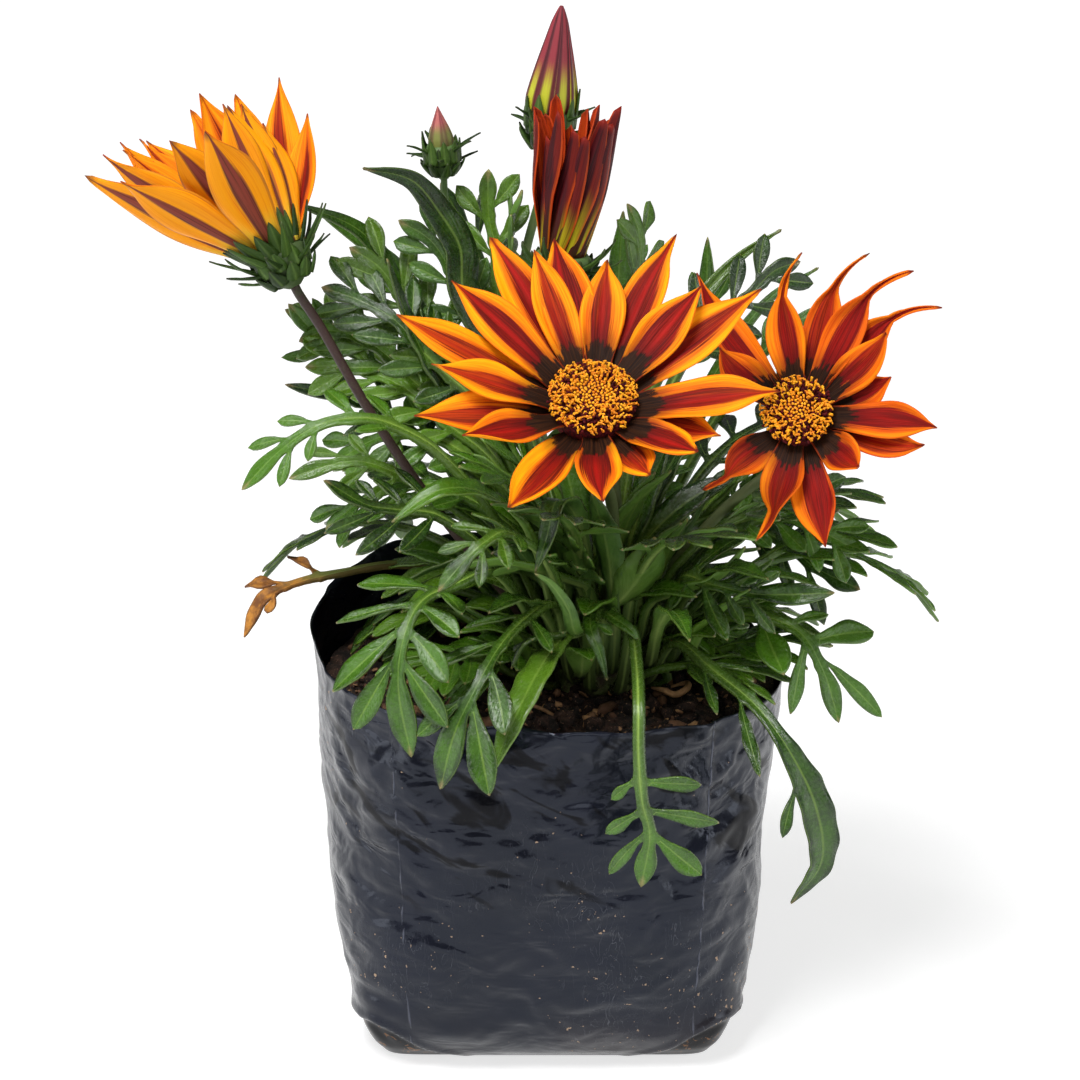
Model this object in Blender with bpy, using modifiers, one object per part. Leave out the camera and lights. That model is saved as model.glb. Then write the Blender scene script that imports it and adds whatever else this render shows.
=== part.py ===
# Potted gazania: a flowering plant in a black film nursery bag.
# Metres, +Z up. The origin is the middle of the bag's flat base, and the blooms face -Y.
# Sizes below are in millimetres, and MM turns them into metres as each mesh is made.

import math
import random

import bmesh
import bpy
from mathutils import Matrix, Vector
from mathutils.bvhtree import BVHTree

MM = 0.001
GAP = 0.3
WELD = 0.01
SHARP_ANGLE = math.radians(40)
OBJECT_NAME = "potted_gazania"

# Bag: half width and half depth at each height, from a rounded oblong base to a round mouth
# (height, half width, half depth, squareness: 2 is round)
BAG_LEVELS = [
    (0.0, 43.5, 38.0, 14.0),
    (4.0, 47.5, 43.0, 9.0),
    (12.0, 51.5, 48.5, 5.0),
    (30.0, 55.0, 53.5, 3.4),
    (52.0, 57.5, 56.5, 2.6),
    (76.0, 59.5, 58.5, 2.2),
]
BAG_MOUTH = (60.5, 59.0, 2.0)
BAG_WALL = 0.8
BAG_SIDES = 36
WRINKLE = 0.9
# Height of the mouth's edge at every 45 degrees, from +X round through +Y
RIM_HEIGHTS = [93.0, 100.0, 108.0, 112.0, 106.0, 101.0, 101.0, 97.0]

# Soil
SOIL_TOP = 91.0
SOIL_DROP_LEFT = 5.0
SOIL_CRUMB = 1.3
SOIL_CLEARANCE = 0.5
SOIL_INSET = 0.6
SOIL_FOOT_INSET = 3.0
SOIL_RINGS = 5

# Crown: a dome on the soil with a root stub below
CROWN = Vector((14.0, 0.0, 91.3))
CROWN_RADIUS = 14.0
ROOT_RADIUS = 8.0
ROOT_DEPTH = 34.0

# Leaves
SHEET = 0.65
PETIOLE_WIDTH = 2.4
PETIOLE_DEPTH = 1.8
LOBE_ROOT = 2.0
STATION_GAP = 17.0
LOBE_FULLNESS = 1.3
CLEARANCE = 0.25
# How far a leaf may be turned round the crown, and up or down, to lie clear of its neighbours
TURN = 40
LIFT = 24

# Blooms
FLORET = 0.8
CHANNEL = 0.15
# The plate that a bloom's petals root in, from its underside to its top
PLATE = (0.3, 3.6)
PLATE_INSET = 0.4
PLATE_SIDES = 16
CUP_SIDES = 12
PETAL_HEIGHT = 1.1
PETAL_ROWS = 4
PETAL_SINK = 2.2
BRACT_ROWS = 2
LAYER_STEP = 1.25
LAYER_CUP = 5

MATERIALS = {
    "bag_film": ((0.018, 0.019, 0.026), 0.32),
    "potting_soil": ((0.020, 0.014, 0.010), 0.95),
    "crown_green": ((0.16, 0.18, 0.05), 0.7),
    "leaf_green": ((0.035, 0.100, 0.018), 0.42),
    "leaf_dead": ((0.34, 0.14, 0.04), 0.7),
    "petal_orange": ((0.80, 0.17, 0.01), 0.5),
    "petal_closing": ((0.30, 0.04, 0.02), 0.5),
    "floret_yellow": ((0.80, 0.33, 0.02), 0.65),
    "stalk_green": ((0.11, 0.17, 0.05), 0.5),
    "stalk_purple": ((0.09, 0.04, 0.035), 0.5),
    "bud_pink": ((0.28, 0.04, 0.05), 0.5),
}


def clear_scene():
    for old in list(bpy.data.objects):
        bpy.data.objects.remove(old, do_unlink=True)


def make_material(name):
    colour, roughness = MATERIALS[name]
    material = bpy.data.materials.new(name)
    material.use_nodes = True
    shader = material.node_tree.nodes["Principled BSDF"]
    shader.inputs["Base Color"].default_value = (*colour, 1.0)
    shader.inputs["Roughness"].default_value = roughness
    shader.inputs["Metallic"].default_value = 0.0
    return material


clear_scene()
PARTS = bpy.data.collections.new(OBJECT_NAME)
TOOLS = bpy.data.collections.new(OBJECT_NAME + "_cutters")
bpy.context.scene.collection.children.link(PARTS)
bpy.context.scene.collection.children.link(TOOLS)
PAINTS = {name: make_material(name) for name in MATERIALS}


def new_object(name, points, faces, paint):
    """A mesh object from points in millimetres."""
    mesh = bpy.data.meshes.new(name)
    mesh.from_pydata([tuple(Vector(point) * MM) for point in points], [], faces)
    mesh.materials.append(PAINTS[paint])
    mesh.shade_smooth()
    mesh.set_sharp_from_angle(angle=SHARP_ANGLE)
    made = bpy.data.objects.new(name, mesh)
    PARTS.objects.link(made)
    return made


def freeze(made):
    """Replaces an object's modifiers or curve by the mesh that they give."""
    bpy.context.view_layer.update()
    graph = bpy.context.evaluated_depsgraph_get()
    mesh = bpy.data.meshes.new_from_object(made.evaluated_get(graph))
    name = made.name
    placed = made.matrix_world.copy()
    home = made.users_collection[0]
    bpy.data.objects.remove(made, do_unlink=True)
    solid = bpy.data.objects.new(name, mesh)
    home.objects.link(solid)
    solid.matrix_world = placed
    return solid


def solidify(made, thickness, group=None, thinnest=1.0):
    """Gives an open surface its thickness, below the surface."""
    shell = made.modifiers.new("thickness", "SOLIDIFY")
    shell.thickness = thickness * MM
    shell.offset = -1.0
    if group:
        shell.vertex_group = group
        shell.thickness_vertex_group = thinnest
    return made


def weld(made):
    """Joins the points that meet and turns every face outwards."""
    shape = bmesh.new()
    shape.from_mesh(made.data)
    bmesh.ops.remove_doubles(shape, verts=shape.verts, dist=WELD * MM)
    bmesh.ops.recalc_face_normals(shape, faces=shape.faces)
    shape.to_mesh(made.data)
    shape.free()
    return made


def keep_outer_shell(solid):
    """Fills sealed hollows and drops loose scraps: only the largest connected shell stays."""
    shape = bmesh.new()
    shape.from_mesh(solid.data)
    shape.verts.ensure_lookup_table()
    left = set(shape.verts)
    shells = []
    while left:
        reached = {left.pop()}
        edge = list(reached)
        while edge:
            vertex = edge.pop()
            for link in vertex.link_edges:
                other = link.other_vert(vertex)
                if other in left:
                    left.remove(other)
                    reached.add(other)
                    edge.append(other)
        shells.append(reached)
    shells.sort(key=len)
    for scrap in shells[:-1]:
        bmesh.ops.delete(shape, geom=list(scrap), context="VERTS")
    shape.to_mesh(solid.data)
    shape.free()


def union(name, first, others, paint):
    """One body from overlapping solids, which are removed."""
    group = bpy.data.collections.new(name + "_joined")
    TOOLS.children.link(group)
    for other in others:
        group.objects.link(other)
    joint = first.modifiers.new("union", "BOOLEAN")
    joint.operation = "UNION"
    joint.operand_type = "COLLECTION"
    joint.collection = group
    solid = freeze(first)
    for other in others:
        bpy.data.objects.remove(other, do_unlink=True)
    bpy.data.collections.remove(group)
    keep_outer_shell(solid)
    solid.name = name
    for home in list(solid.users_collection):
        home.objects.unlink(solid)
    PARTS.objects.link(solid)
    solid.data.materials.clear()
    solid.data.materials.append(PAINTS[paint])
    solid.data.shade_smooth()
    solid.data.set_sharp_from_angle(angle=SHARP_ANGLE)
    return solid


# Bag, soil and crown


def round_value(values, angle):
    """Reads a closed ring of values at an angle, smoothly."""
    place = (angle % math.tau) / math.tau * len(values)
    first = int(place)
    step = place - first
    before, start, end, after = [values[(first + offset) % len(values)] for offset in (-1, 0, 1, 2)]
    return cubic(start, end, (end - before) / 2, (after - start) / 2, step)


def cubic(start, end, slope_in, slope_out, step):
    """A smooth run from start to end that leaves and arrives at the given slopes."""
    square = step * step
    cube = square * step
    return (
        start * (2 * cube - 3 * square + 1)
        + slope_in * (cube - 2 * square + step)
        + end * (3 * square - 2 * cube)
        + slope_out * (cube - square)
    )


def wrinkle(angle, height):
    """How far the film stands out or in, in broad soft dents, none at the base."""
    fade = min(1.0, height / 25.0)
    dents = math.sin(3 * angle + height * 0.09) + 0.7 * math.sin(7 * angle - height * 0.13 + 1.0)
    return WRINKLE * 0.5 * fade * dents


def bag_point(angle, height, half_x, half_y, square, inset):
    """A point on the bag's wall, a given distance inside its outer face."""
    across = abs(math.cos(angle) / half_x) ** square
    deep = abs(math.sin(angle) / half_y) ** square
    reach = (across + deep) ** (-1.0 / square) + wrinkle(angle, height) - inset
    return Vector((reach * math.cos(angle), reach * math.sin(angle), height))


def side_angle(index):
    return math.tau * index / BAG_SIDES


def ring_faces(lower, upper, count):
    """Triangles between two rings of points, facing outwards."""
    faces = []
    for index in range(count):
        following = (index + 1) % count
        faces.append((lower + index, lower + following, upper + following))
        faces.append((lower + index, upper + following, upper + index))
    return faces


def make_bag():
    points = []
    faces = []
    for height, half_x, half_y, square in BAG_LEVELS:
        for index in range(BAG_SIDES):
            points.append(bag_point(side_angle(index), height, half_x, half_y, square, 0.0))
    for index in range(BAG_SIDES):
        angle = side_angle(index)
        height = round_value(RIM_HEIGHTS, angle)
        points.append(bag_point(angle, height, *BAG_MOUTH, 0.0))
    for level in range(len(BAG_LEVELS)):
        faces += ring_faces(level * BAG_SIDES, (level + 1) * BAG_SIDES, BAG_SIDES)
    faces.append(tuple(reversed(range(BAG_SIDES))))
    bag = new_object("bag", points, faces, "bag_film")
    return freeze(solidify(bag, BAG_WALL))


def soil_height(x, y):
    """The soil's surface: lower at the left and crumbly, and level round the crown."""
    slope = -SOIL_DROP_LEFT * max(0.0, -x) / BAG_MOUTH[0]
    crumbs = math.sin(x * 0.31 + y * 0.17) + math.sin(y * 0.37 - x * 0.11 + 2.0)
    reach = math.hypot(x - CROWN.x, y - CROWN.y)
    away = min(1.0, max(0.0, (reach - CROWN_RADIUS - 2.0) / 12.0))
    return SOIL_TOP + away * (slope + SOIL_CRUMB * 0.5 * crumbs)


def soil_edge(angle, level, inset):
    """Where the soil's surface meets the film, between the bag's last level and its mouth."""
    height, half_x, half_y, square = level
    lower = bag_point(angle, height, half_x, half_y, square, inset)
    rim = round_value(RIM_HEIGHTS, angle)
    upper = bag_point(angle, rim, *BAG_MOUTH, inset)
    share = (soil_height(lower.x, lower.y) - height) / (rim - height)
    return lower.lerp(upper, share)


def make_soil():
    inset = BAG_WALL + SOIL_CLEARANCE
    points = []
    faces = []
    for level, (height, half_x, half_y, square) in enumerate(BAG_LEVELS):
        lift = BAG_WALL + GAP if level == 0 else height
        shrink = inset + (SOIL_FOOT_INSET if level == 0 else SOIL_INSET)
        for index in range(BAG_SIDES):
            outline = bag_point(side_angle(index), height, half_x, half_y, square, shrink)
            points.append(Vector((outline.x, outline.y, lift)))
    for ring in range(SOIL_RINGS):
        share = 1.0 - ring / SOIL_RINGS
        for index in range(BAG_SIDES):
            edge = soil_edge(side_angle(index), BAG_LEVELS[-1], inset + SOIL_INSET)
            x, y = edge.x * share, edge.y * share
            points.append(Vector((x, y, soil_height(x, y))))
    rings = len(BAG_LEVELS) + SOIL_RINGS
    for ring in range(rings - 1):
        faces += ring_faces(ring * BAG_SIDES, (ring + 1) * BAG_SIDES, BAG_SIDES)
    faces.append(tuple(reversed(range(BAG_SIDES))))
    points.append(Vector((0.0, 0.0, soil_height(0.0, 0.0))))
    last = (rings - 1) * BAG_SIDES
    for index in range(BAG_SIDES):
        faces.append((last + index, last + (index + 1) % BAG_SIDES, len(points) - 1))
    soil = new_object("soil", points, faces, "potting_soil")
    bpy.ops.mesh.primitive_cylinder_add(
        vertices=20,
        radius=(ROOT_RADIUS + GAP) * MM,
        depth=2 * (ROOT_DEPTH + GAP) * MM,
        location=(CROWN.x * MM, CROWN.y * MM, SOIL_TOP * MM),
    )
    hole = bpy.context.object
    hole.name = "root_hole_cutter"
    for home in list(hole.users_collection):
        home.objects.unlink(hole)
    TOOLS.objects.link(hole)
    hole.hide_render = True
    hole.display_type = "WIRE"
    cut = soil.modifiers.new("root hole", "BOOLEAN")
    cut.operation = "DIFFERENCE"
    cut.object = hole
    return soil


def turned(name, profile, sides, paint):
    """A turned solid from a profile that runs down its outer side."""
    points = [(radius, 0.0, height) for radius, height in profile]
    edges = [(index, index + 1) for index in range(len(points) - 1)]
    mesh = bpy.data.meshes.new(name)
    mesh.from_pydata([tuple(Vector(point) * MM) for point in points], edges, [])
    mesh.materials.append(PAINTS[paint])
    made = bpy.data.objects.new(name, mesh)
    PARTS.objects.link(made)
    spin = made.modifiers.new("turn", "SCREW")
    spin.steps = sides
    spin.render_steps = sides
    spin.use_merge_vertices = True
    spin.merge_threshold = WELD * MM
    spin.use_smooth_shade = True
    return made


def make_crown():
    """The dome that leaves and stalks grow from, and its root stub in the soil."""
    profile = []
    for step in range(5):
        angle = math.radians(90 - step * 22.5)
        profile.append((CROWN_RADIUS * math.cos(angle), CROWN_RADIUS * math.sin(angle)))
    profile[0] = (0.0, CROWN_RADIUS)
    profile += [(ROOT_RADIUS, 0.0), (ROOT_RADIUS * 0.8, -ROOT_DEPTH * 0.6), (0.0, -ROOT_DEPTH)]
    crown = turned("crown", profile, 18, "crown_green")
    crown.location = CROWN * MM
    return crown


# Curves that leaves, petals and stems follow


def smooth_path(points, steps=8):
    """A smooth run of points through the given ones, however unevenly they are spaced."""
    ends = [points[0] * 2 - points[1]] + points + [points[-1] * 2 - points[-2]]
    path = []
    for first in range(len(points) - 1):
        before, start, end, after = ends[first : first + 4]
        chord = (end - start).length
        slope_in = (end - before) * (chord / (chord + (start - before).length))
        slope_out = (after - start) * (chord / (chord + (after - end).length))
        path += [cubic(start, end, slope_in, slope_out, step / steps) for step in range(steps)]
    path.append(points[-1].copy())
    return path


class Rib:
    """A curve with a place, a forward, a sideways and an upward direction at each share of its length."""

    def __init__(self, path, roll=0.0):
        self.path = path
        self.roll = math.radians(roll)
        self.lengths = [0.0]
        for before, after in zip(path, path[1:]):
            self.lengths.append(self.lengths[-1] + (after - before).length)
        self.length = self.lengths[-1]
        up = Vector((0.0, 0.0, 1.0))
        self.ups = []
        for index in range(len(path)):
            forward = self.forward(index)
            up = (up - forward * up.dot(forward)).normalized()
            self.ups.append(up)

    def forward(self, index):
        before = self.path[max(0, index - 1)]
        after = self.path[min(len(self.path) - 1, index + 1)]
        return (after - before).normalized()

    def at(self, share):
        distance = min(max(share, 0.0), 1.0) * self.length
        index = 0
        while index < len(self.path) - 2 and self.lengths[index + 1] < distance:
            index += 1
        span = self.lengths[index + 1] - self.lengths[index]
        part = (distance - self.lengths[index]) / span
        place = self.path[index].lerp(self.path[index + 1], part)
        forward = self.forward(index).lerp(self.forward(index + 1), part).normalized()
        up = self.ups[index].lerp(self.ups[index + 1], part)
        up = (up - forward * up.dot(forward)).normalized()
        up = Matrix.Rotation(self.roll * share, 3, forward) @ up
        return place, forward, forward.cross(up), up


# Leaves

# A lobed leaf: its rib's points from the crown outwards, then its lobes, each as
# (share of the rib, side, length, angle from the rib, width); side 1 is the right one seen from above.


def crown_slot(toward, lift):
    """The place on the crown's dome where a leaf or stalk starts, and the point that sends it outwards."""
    flat = Vector((toward.x, toward.y, 0.0)).normalized()
    out = flat * math.cos(math.radians(lift)) + Vector((0, 0, 1)) * math.sin(math.radians(lift))
    return [out * (CROWN_RADIUS + GAP), out * (CROWN_RADIUS + 5.0)]


def leaf_stations(lobes, tip_start, length):
    """The shares of the rib where the leaf has an edge across it."""
    shares = {0.0, tip_start, (tip_start + 1.0) / 2, 1.0}
    for share in {lobe[0] for lobe in lobes}:
        shares.add(share - LOBE_ROOT / 2 / length)
        shares.add(share + LOBE_ROOT / 2 / length)
    ordered = sorted(shares)
    filled = []
    for start, end in zip(ordered, ordered[1:]):
        pieces = max(1, round((end - start) * length / STATION_GAP))
        filled += [start + (end - start) * piece / pieces for piece in range(pieces)]
    return filled + [1.0]


def leaf_half_width(share, leaf, first, tip_start):
    """Half the width of the leaf's middle strip."""
    petiole = PETIOLE_WIDTH / 2
    if share <= first:
        return petiole
    if share <= tip_start:
        return petiole + (leaf["strip"] / 2 - petiole) * min(1.0, (share - first) * 8)
    inner = (share - tip_start) / (1.0 - tip_start)
    swell = math.sin(math.pi * min(1.0, 0.15 + 0.85 * inner)) ** 0.8
    return leaf["tip"] / 2 * swell + leaf["strip"] / 2 * (1 - inner) * 0.5


def leaf_surface(leaf):
    """A leaf's open surface round the crown's centre: points, triangles and each point's thickness share."""
    rib = Rib(smooth_path(leaf["path"]), leaf["roll"])
    lobes = leaf["lobes"]
    first = min([lobe[0] for lobe in lobes] + [leaf["tip_start"]]) - 0.06
    tip_start = leaf["tip_start"]
    stations = leaf_stations(lobes, tip_start, rib.length)
    points = []
    faces = []
    weights = []
    for share in stations[:-1]:
        place, forward, side, up = rib.at(share)
        half = leaf_half_width(share, leaf, first, tip_start)
        points += [place - side * half, place + side * half]
        stalk = 1.0 if share < first else max(0.0, 0.35 * (1 - share))
        weights += [stalk, stalk]
    points.append(rib.at(1.0)[0])
    weights.append(0.0)
    for index in range(len(stations) - 2):
        left = 2 * index
        faces += [(left, left + 1, left + 3), (left, left + 3, left + 2)]
    last = len(points) - 3
    faces.append((last, last + 1, last + 2))
    for lobe in lobes:
        add_lobe(lobe, stations, rib, points, faces, weights)
    return points, faces, weights


def add_lobe(lobe, stations, rib, points, faces, weights):
    """One lobe, grown from the edge of the strip between two stations."""
    share, side, size, angle, width = lobe
    near = share - LOBE_ROOT / 2 / rib.length
    start = min(range(len(stations)), key=lambda index: abs(stations[index] - near))
    lower = 2 * start + (1 if side > 0 else 0)
    upper = lower + 2
    place, forward, right, up = rib.at(share)
    turn = math.radians(angle)
    out = forward * math.cos(turn) + right * side * math.sin(turn)
    back = right * side * math.cos(turn) - forward * math.sin(turn)
    root = (points[lower] + points[upper]) / 2
    middle = root + out * size * 0.58 - up * size * 0.03
    half = width * LOBE_FULLNESS / 2
    base = len(points)
    points += [middle + back * half, middle - back * half]
    points.append(root + out * size + forward * size * 0.1 - up * size * 0.12)
    weights += [0.0, 0.0, 0.0]
    if side > 0:
        faces += [(lower, base, base + 1), (lower, base + 1, upper), (base, base + 2, base + 1)]
    else:
        faces += [(lower, base + 1, base), (lower, upper, base + 1), (base, base + 1, base + 2)]


def make_leaf(name, leaf, paint="leaf_green"):
    points, faces, weights = leaf_surface(leaf)
    made = new_object(name, points, faces, paint)
    group = made.vertex_groups.new(name="stalk")
    for index, weight in enumerate(weights):
        group.add([index], weight, "REPLACE")
    solidify(made, PETIOLE_DEPTH, "stalk", SHEET / PETIOLE_DEPTH)
    return freeze(made)


# Clearing what crosses


def grown_tree(solid, turn=None, grow=CLEARANCE):
    """A search tree of a solid grown by a small clearance, turned about the crown."""
    mesh = solid.data
    placed = solid.matrix_world
    points = []
    for vertex in mesh.vertices:
        point = placed @ (vertex.co + vertex.normal * grow * MM)
        points.append(turn @ point if turn else point)
    return BVHTree.FromPolygons(points, [tuple(face.vertices) for face in mesh.polygons])


def crown_turn(toward, turn, lift):
    """A turn about the crown: round it by one angle and up or down by another."""
    centre = Matrix.Translation(CROWN * MM)
    across = Vector((-toward.y, toward.x, 0.0)).normalized()
    rise = Matrix.Rotation(math.radians(-lift), 4, across)
    spin = Matrix.Rotation(math.radians(turn), 4, "Z")
    return centre @ spin @ rise @ centre.inverted()


def settle(solid, toward, standing):
    """Turns a leaf about the crown by the smallest step that leaves it clear of what stands."""
    steps = [(turn, lift) for turn in range(-TURN, TURN + 1, 2) for lift in range(-LIFT, LIFT + 1, 2)]
    steps.sort(key=lambda step: (abs(step[0]) + 1.3 * abs(step[1]), step))
    for turn, lift in steps:
        matrix = crown_turn(toward, turn, lift)
        tree = grown_tree(solid, matrix)
        if not any(tree.overlap(other) for other in standing):
            solid.matrix_world = matrix @ solid.matrix_world
            bpy.context.view_layer.update()
            standing.append(tree)
            return True
    return False


# Blooms


def bloom_frame(centre, axis):
    """A turn and place whose Z is the bloom's axis and whose Y is up in its plane."""
    out = Vector(axis).normalized()
    across = (Vector((1, 0, 0)) - out * out.x).normalized()
    up = out.cross(across)
    turn = Matrix((across, up, out)).transposed().to_4x4()
    return Matrix.Translation(Vector(centre) * MM) @ turn


def petal_surface(petal, root, rows, points, faces):
    """One petal's channelled blade from the root circle out, in the bloom's own frame."""
    angle, length, width, cup, curl, sweep, twist, height, layer, tilt = petal
    flat = Vector((math.cos(math.radians(angle)), math.sin(math.radians(angle)), 0.0))
    steep = math.radians(cup)
    place = flat * (root - layer * math.sin(steep)) + Vector((0, 0, height + layer * math.cos(steep)))
    base = len(points)
    step = (length - root) / rows
    for row in range(rows + 1):
        share = row / rows
        outer = max(0.0, (share - 0.45) / 0.55)
        heading = math.radians(angle + sweep * outer)
        slope = math.radians(cup + curl * share * share)
        flat = Vector((math.cos(heading), math.sin(heading), 0.0))
        forward = flat * math.cos(slope) + Vector((0, 0, 1)) * math.sin(slope)
        side = Vector((0, 0, 1)).cross(flat)
        up = forward.cross(side)
        spin = Matrix.Rotation(math.radians(tilt + twist * outer), 3, forward)
        side, up = spin @ side, spin @ up
        if row:
            place = place + forward * step
        half = width / 2 * petal_width(share)
        if row == rows:
            points.append(place.copy())
            break
        channel = up * half * CHANNEL
        points += [place - side * half + channel, place.copy(), place + side * half + channel]
    for row in range(rows - 1):
        start = base + 3 * row
        for column in (0, 1):
            near, far = start + column, start + column + 3
            faces += [(near, far, near + 1), (near + 1, far, far + 1)]
    start = base + 3 * (rows - 1)
    faces += [(start, start + 3, start + 1), (start + 1, start + 3, start + 2)]


def petal_width(share):
    """A petal's width along its length: narrow at the root, widest at the middle, pointed."""
    if share < 0.5:
        return 0.4 + 0.6 * math.sin(math.pi * share) ** 1.1
    return (2 - 2 * share) ** 0.72


def make_blades(name, blades, root, rows, paint):
    """Each petal or bract as a thin solid of its own, ready to be joined."""
    made = []
    for blade in blades:
        points = []
        faces = []
        petal_surface(blade, root, rows, points, faces)
        made.append(freeze(solidify(new_object(name + "_blade", points, faces, paint), SHEET)))
    return made


def make_petals(name, petals, root, frame, paint):
    """A bloom's petals, rooted in one small plate."""
    blades = make_blades(name, petals, root - PETAL_SINK, PETAL_ROWS, paint)
    bottom, top = PLATE
    edge = root - PLATE_INSET
    profile = [(0.0, top), (edge, top), (edge, bottom), (0.0, bottom)]
    receptacle = freeze(turned(name + "_plate", profile, PLATE_SIDES, paint))
    body = union(name, receptacle, blades, paint)
    body.matrix_world = frame
    return body


def make_disc(name, radius, height, lift, sides, frame, paint="floret_yellow"):
    """The floret disc: a low dome whose florets stand up as small bumps."""
    rings = 6
    points = []
    faces = []
    for ring in range(rings):
        angle = math.pi / 2 * ring / rings
        for index in range(sides):
            around = math.tau * (index + 0.5 * (ring % 2)) / sides
            bump = FLORET * ((index + ring) % 2) if ring else 0.0
            reach = radius * math.cos(angle) + bump * 0.5
            level = lift + height * math.sin(angle) + bump * (0.4 + 0.6 * math.sin(angle))
            points.append(Vector((reach * math.cos(around), reach * math.sin(around), level)))
    for ring in range(rings - 1):
        faces += ring_faces(ring * sides, (ring + 1) * sides, sides)
    faces.append(tuple(reversed(range(sides))))
    points.append(Vector((0.0, 0.0, lift + height)))
    last = (rings - 1) * sides
    for index in range(sides):
        faces.append((last + index, last + (index + 1) % sides, len(points) - 1))
    disc = new_object(name, points, faces, paint)
    disc.matrix_world = frame
    return disc


def make_tube(name, points, radius, paint):
    """A round stem along a smooth path, closed at both ends."""
    path = smooth_path(points, 2)
    line = bpy.data.curves.new(name, "CURVE")
    line.dimensions = "3D"
    line.bevel_depth = radius * MM
    line.bevel_resolution = 1
    line.use_fill_caps = True
    spline = line.splines.new("POLY")
    spline.points.add(len(path) - 1)
    for knot, point in zip(spline.points, path):
        knot.co = (*(point * MM), 1.0)
    line.materials.append(PAINTS[paint])
    made = bpy.data.objects.new(name, line)
    PARTS.objects.link(made)
    return weld(freeze(made))


def make_stalk(name, bloom, paint):
    """A stem, the green cup on its end and the bracts round the cup, in one piece."""
    frame = bloom_frame(bloom["centre"], bloom["axis"])
    cup = bloom["cup"]
    depth = bloom["cup_depth"]
    radius = bloom["stem"]
    profile = [
        (0.0, 0.0),
        (cup, 0.0),
        (cup * 0.97, -depth * 0.25),
        (cup * 0.72, -depth * 0.65),
        (radius * 1.3, -depth),
        (0.0, -depth - 0.5),
    ]
    body = freeze(turned(name + "_cup", profile, CUP_SIDES, paint))
    body.matrix_world = frame
    bracts = make_blades(name, bloom["bracts"], cup * 0.6, BRACT_ROWS, paint)
    for bract in bracts:
        bract.matrix_world = frame
    end = frame @ Vector((0, 0, -(depth - 2.0) * MM)) / MM
    before = frame @ Vector((0, 0, -(depth + 8.0) * MM)) / MM
    way = [Vector(point) for point in bloom["way"]]
    start = [CROWN + point for point in crown_slot(way[0] - CROWN, bloom["lift"])]
    stem = make_tube(name + "_stem", start + way + [before, end], radius, paint)
    return union(name, body, bracts + [stem], paint)


def make_bud(name, bud, paint):
    """Furled petals in a pointed cone, ridged where they wind over each other."""
    sides = 16
    points = []
    faces = []
    for height, radius in bud["outline"]:
        for index in range(sides):
            around = math.tau * index / sides
            ridge = 1.0 + 0.07 * math.cos(8 * around + 0.12 * height)
            reach = radius * ridge
            points.append(Vector((reach * math.cos(around), reach * math.sin(around), height)))
    levels = len(bud["outline"])
    for level in range(levels - 1):
        faces += ring_faces(level * sides, (level + 1) * sides, sides)
    faces.append(tuple(reversed(range(sides))))
    points.append(Vector((0.0, 0.0, bud["length"])))
    last = (levels - 1) * sides
    for index in range(sides):
        faces.append((last + index, last + (index + 1) % sides, len(points) - 1))
    furled = new_object(name, points, faces, paint)
    furled.matrix_world = bloom_frame(bud["centre"], bud["axis"])
    return furled


# The blooms' own sizes. A petal is (angle in the bloom's plane, length, width, cup angle, curl towards
# the tip, sideways sweep of the tip, twist, height of its root, distance of its layer from the lower one,
# tilt of one edge over the next petal); a bract is the same.


def petals_round(rows, cup, curl, width):
    """Fills short rows of (angle, length[, changes]) up to full petals, alternating the two layers."""
    petals = []
    for index, row in enumerate(rows):
        angle, length = row[0], row[1]
        own = row[2] if len(row) > 2 else {}
        petals.append(
            (
                angle,
                length,
                own.get("width", width),
                own.get("cup", cup) + LAYER_CUP * (index % 2),
                own.get("curl", curl),
                own.get("sweep", 0),
                own.get("twist", 0),
                PETAL_HEIGHT,
                LAYER_STEP * (index % 2),
                own.get("tilt", 0),
            )
        )
    return petals


def bracts_round(count, length, width, cup, curl, height):
    """A ring of bracts at even angles, every second one a little shorter and lower."""
    bracts = []
    for index in range(count):
        short = index % 2
        angle = 360 * index / count + 11
        size = length * (1 - 0.18 * short)
        bracts.append((angle, size, width, cup - 16 * short, curl, 0, 0, height - short, 0, 0))
    return bracts



BLOOM_A = {
    "centre": (11, -38, 176),
    "axis": (0.0, -0.588, 0.809),
    "petals": petals_round(
        [
            (33, 51, {"width": 12.5}),
            (45, 41, {"cup": 14}),
            (66, 51),
            (84, 40, {"cup": 14}),
            (102, 46, {"width": 13}),
            (110, 44, {"cup": 12, "width": 10}),
            (120, 52, {"width": 12.5}),
            (141, 47),
            (160, 53),
            (176, 42, {"cup": 14, "width": 11}),
            (192, 45),
            (211, 40, {"curl": 10}),
            (242, 45),
            (273, 39),
            (297, 31, {"curl": 18}),
            (318, 36, {"curl": 8}),
            (337, 34, {"cup": 14}),
            (352, 48, {"width": 12.5}),
        ],
        18,
        0,
        11.5,
    ),
    "root": 11.0,
    "disc": (10.8, 4.2, 30),
    "cup": 8.5,
    "cup_depth": 13.0,
    "stem": 1.5,
    "lift": 72,
    "way": [(17, -8, 128), (16, -14, 146)],
    "bracts": bracts_round(7, 17, 3.2, 12, 20, -4.5),
}

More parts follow.
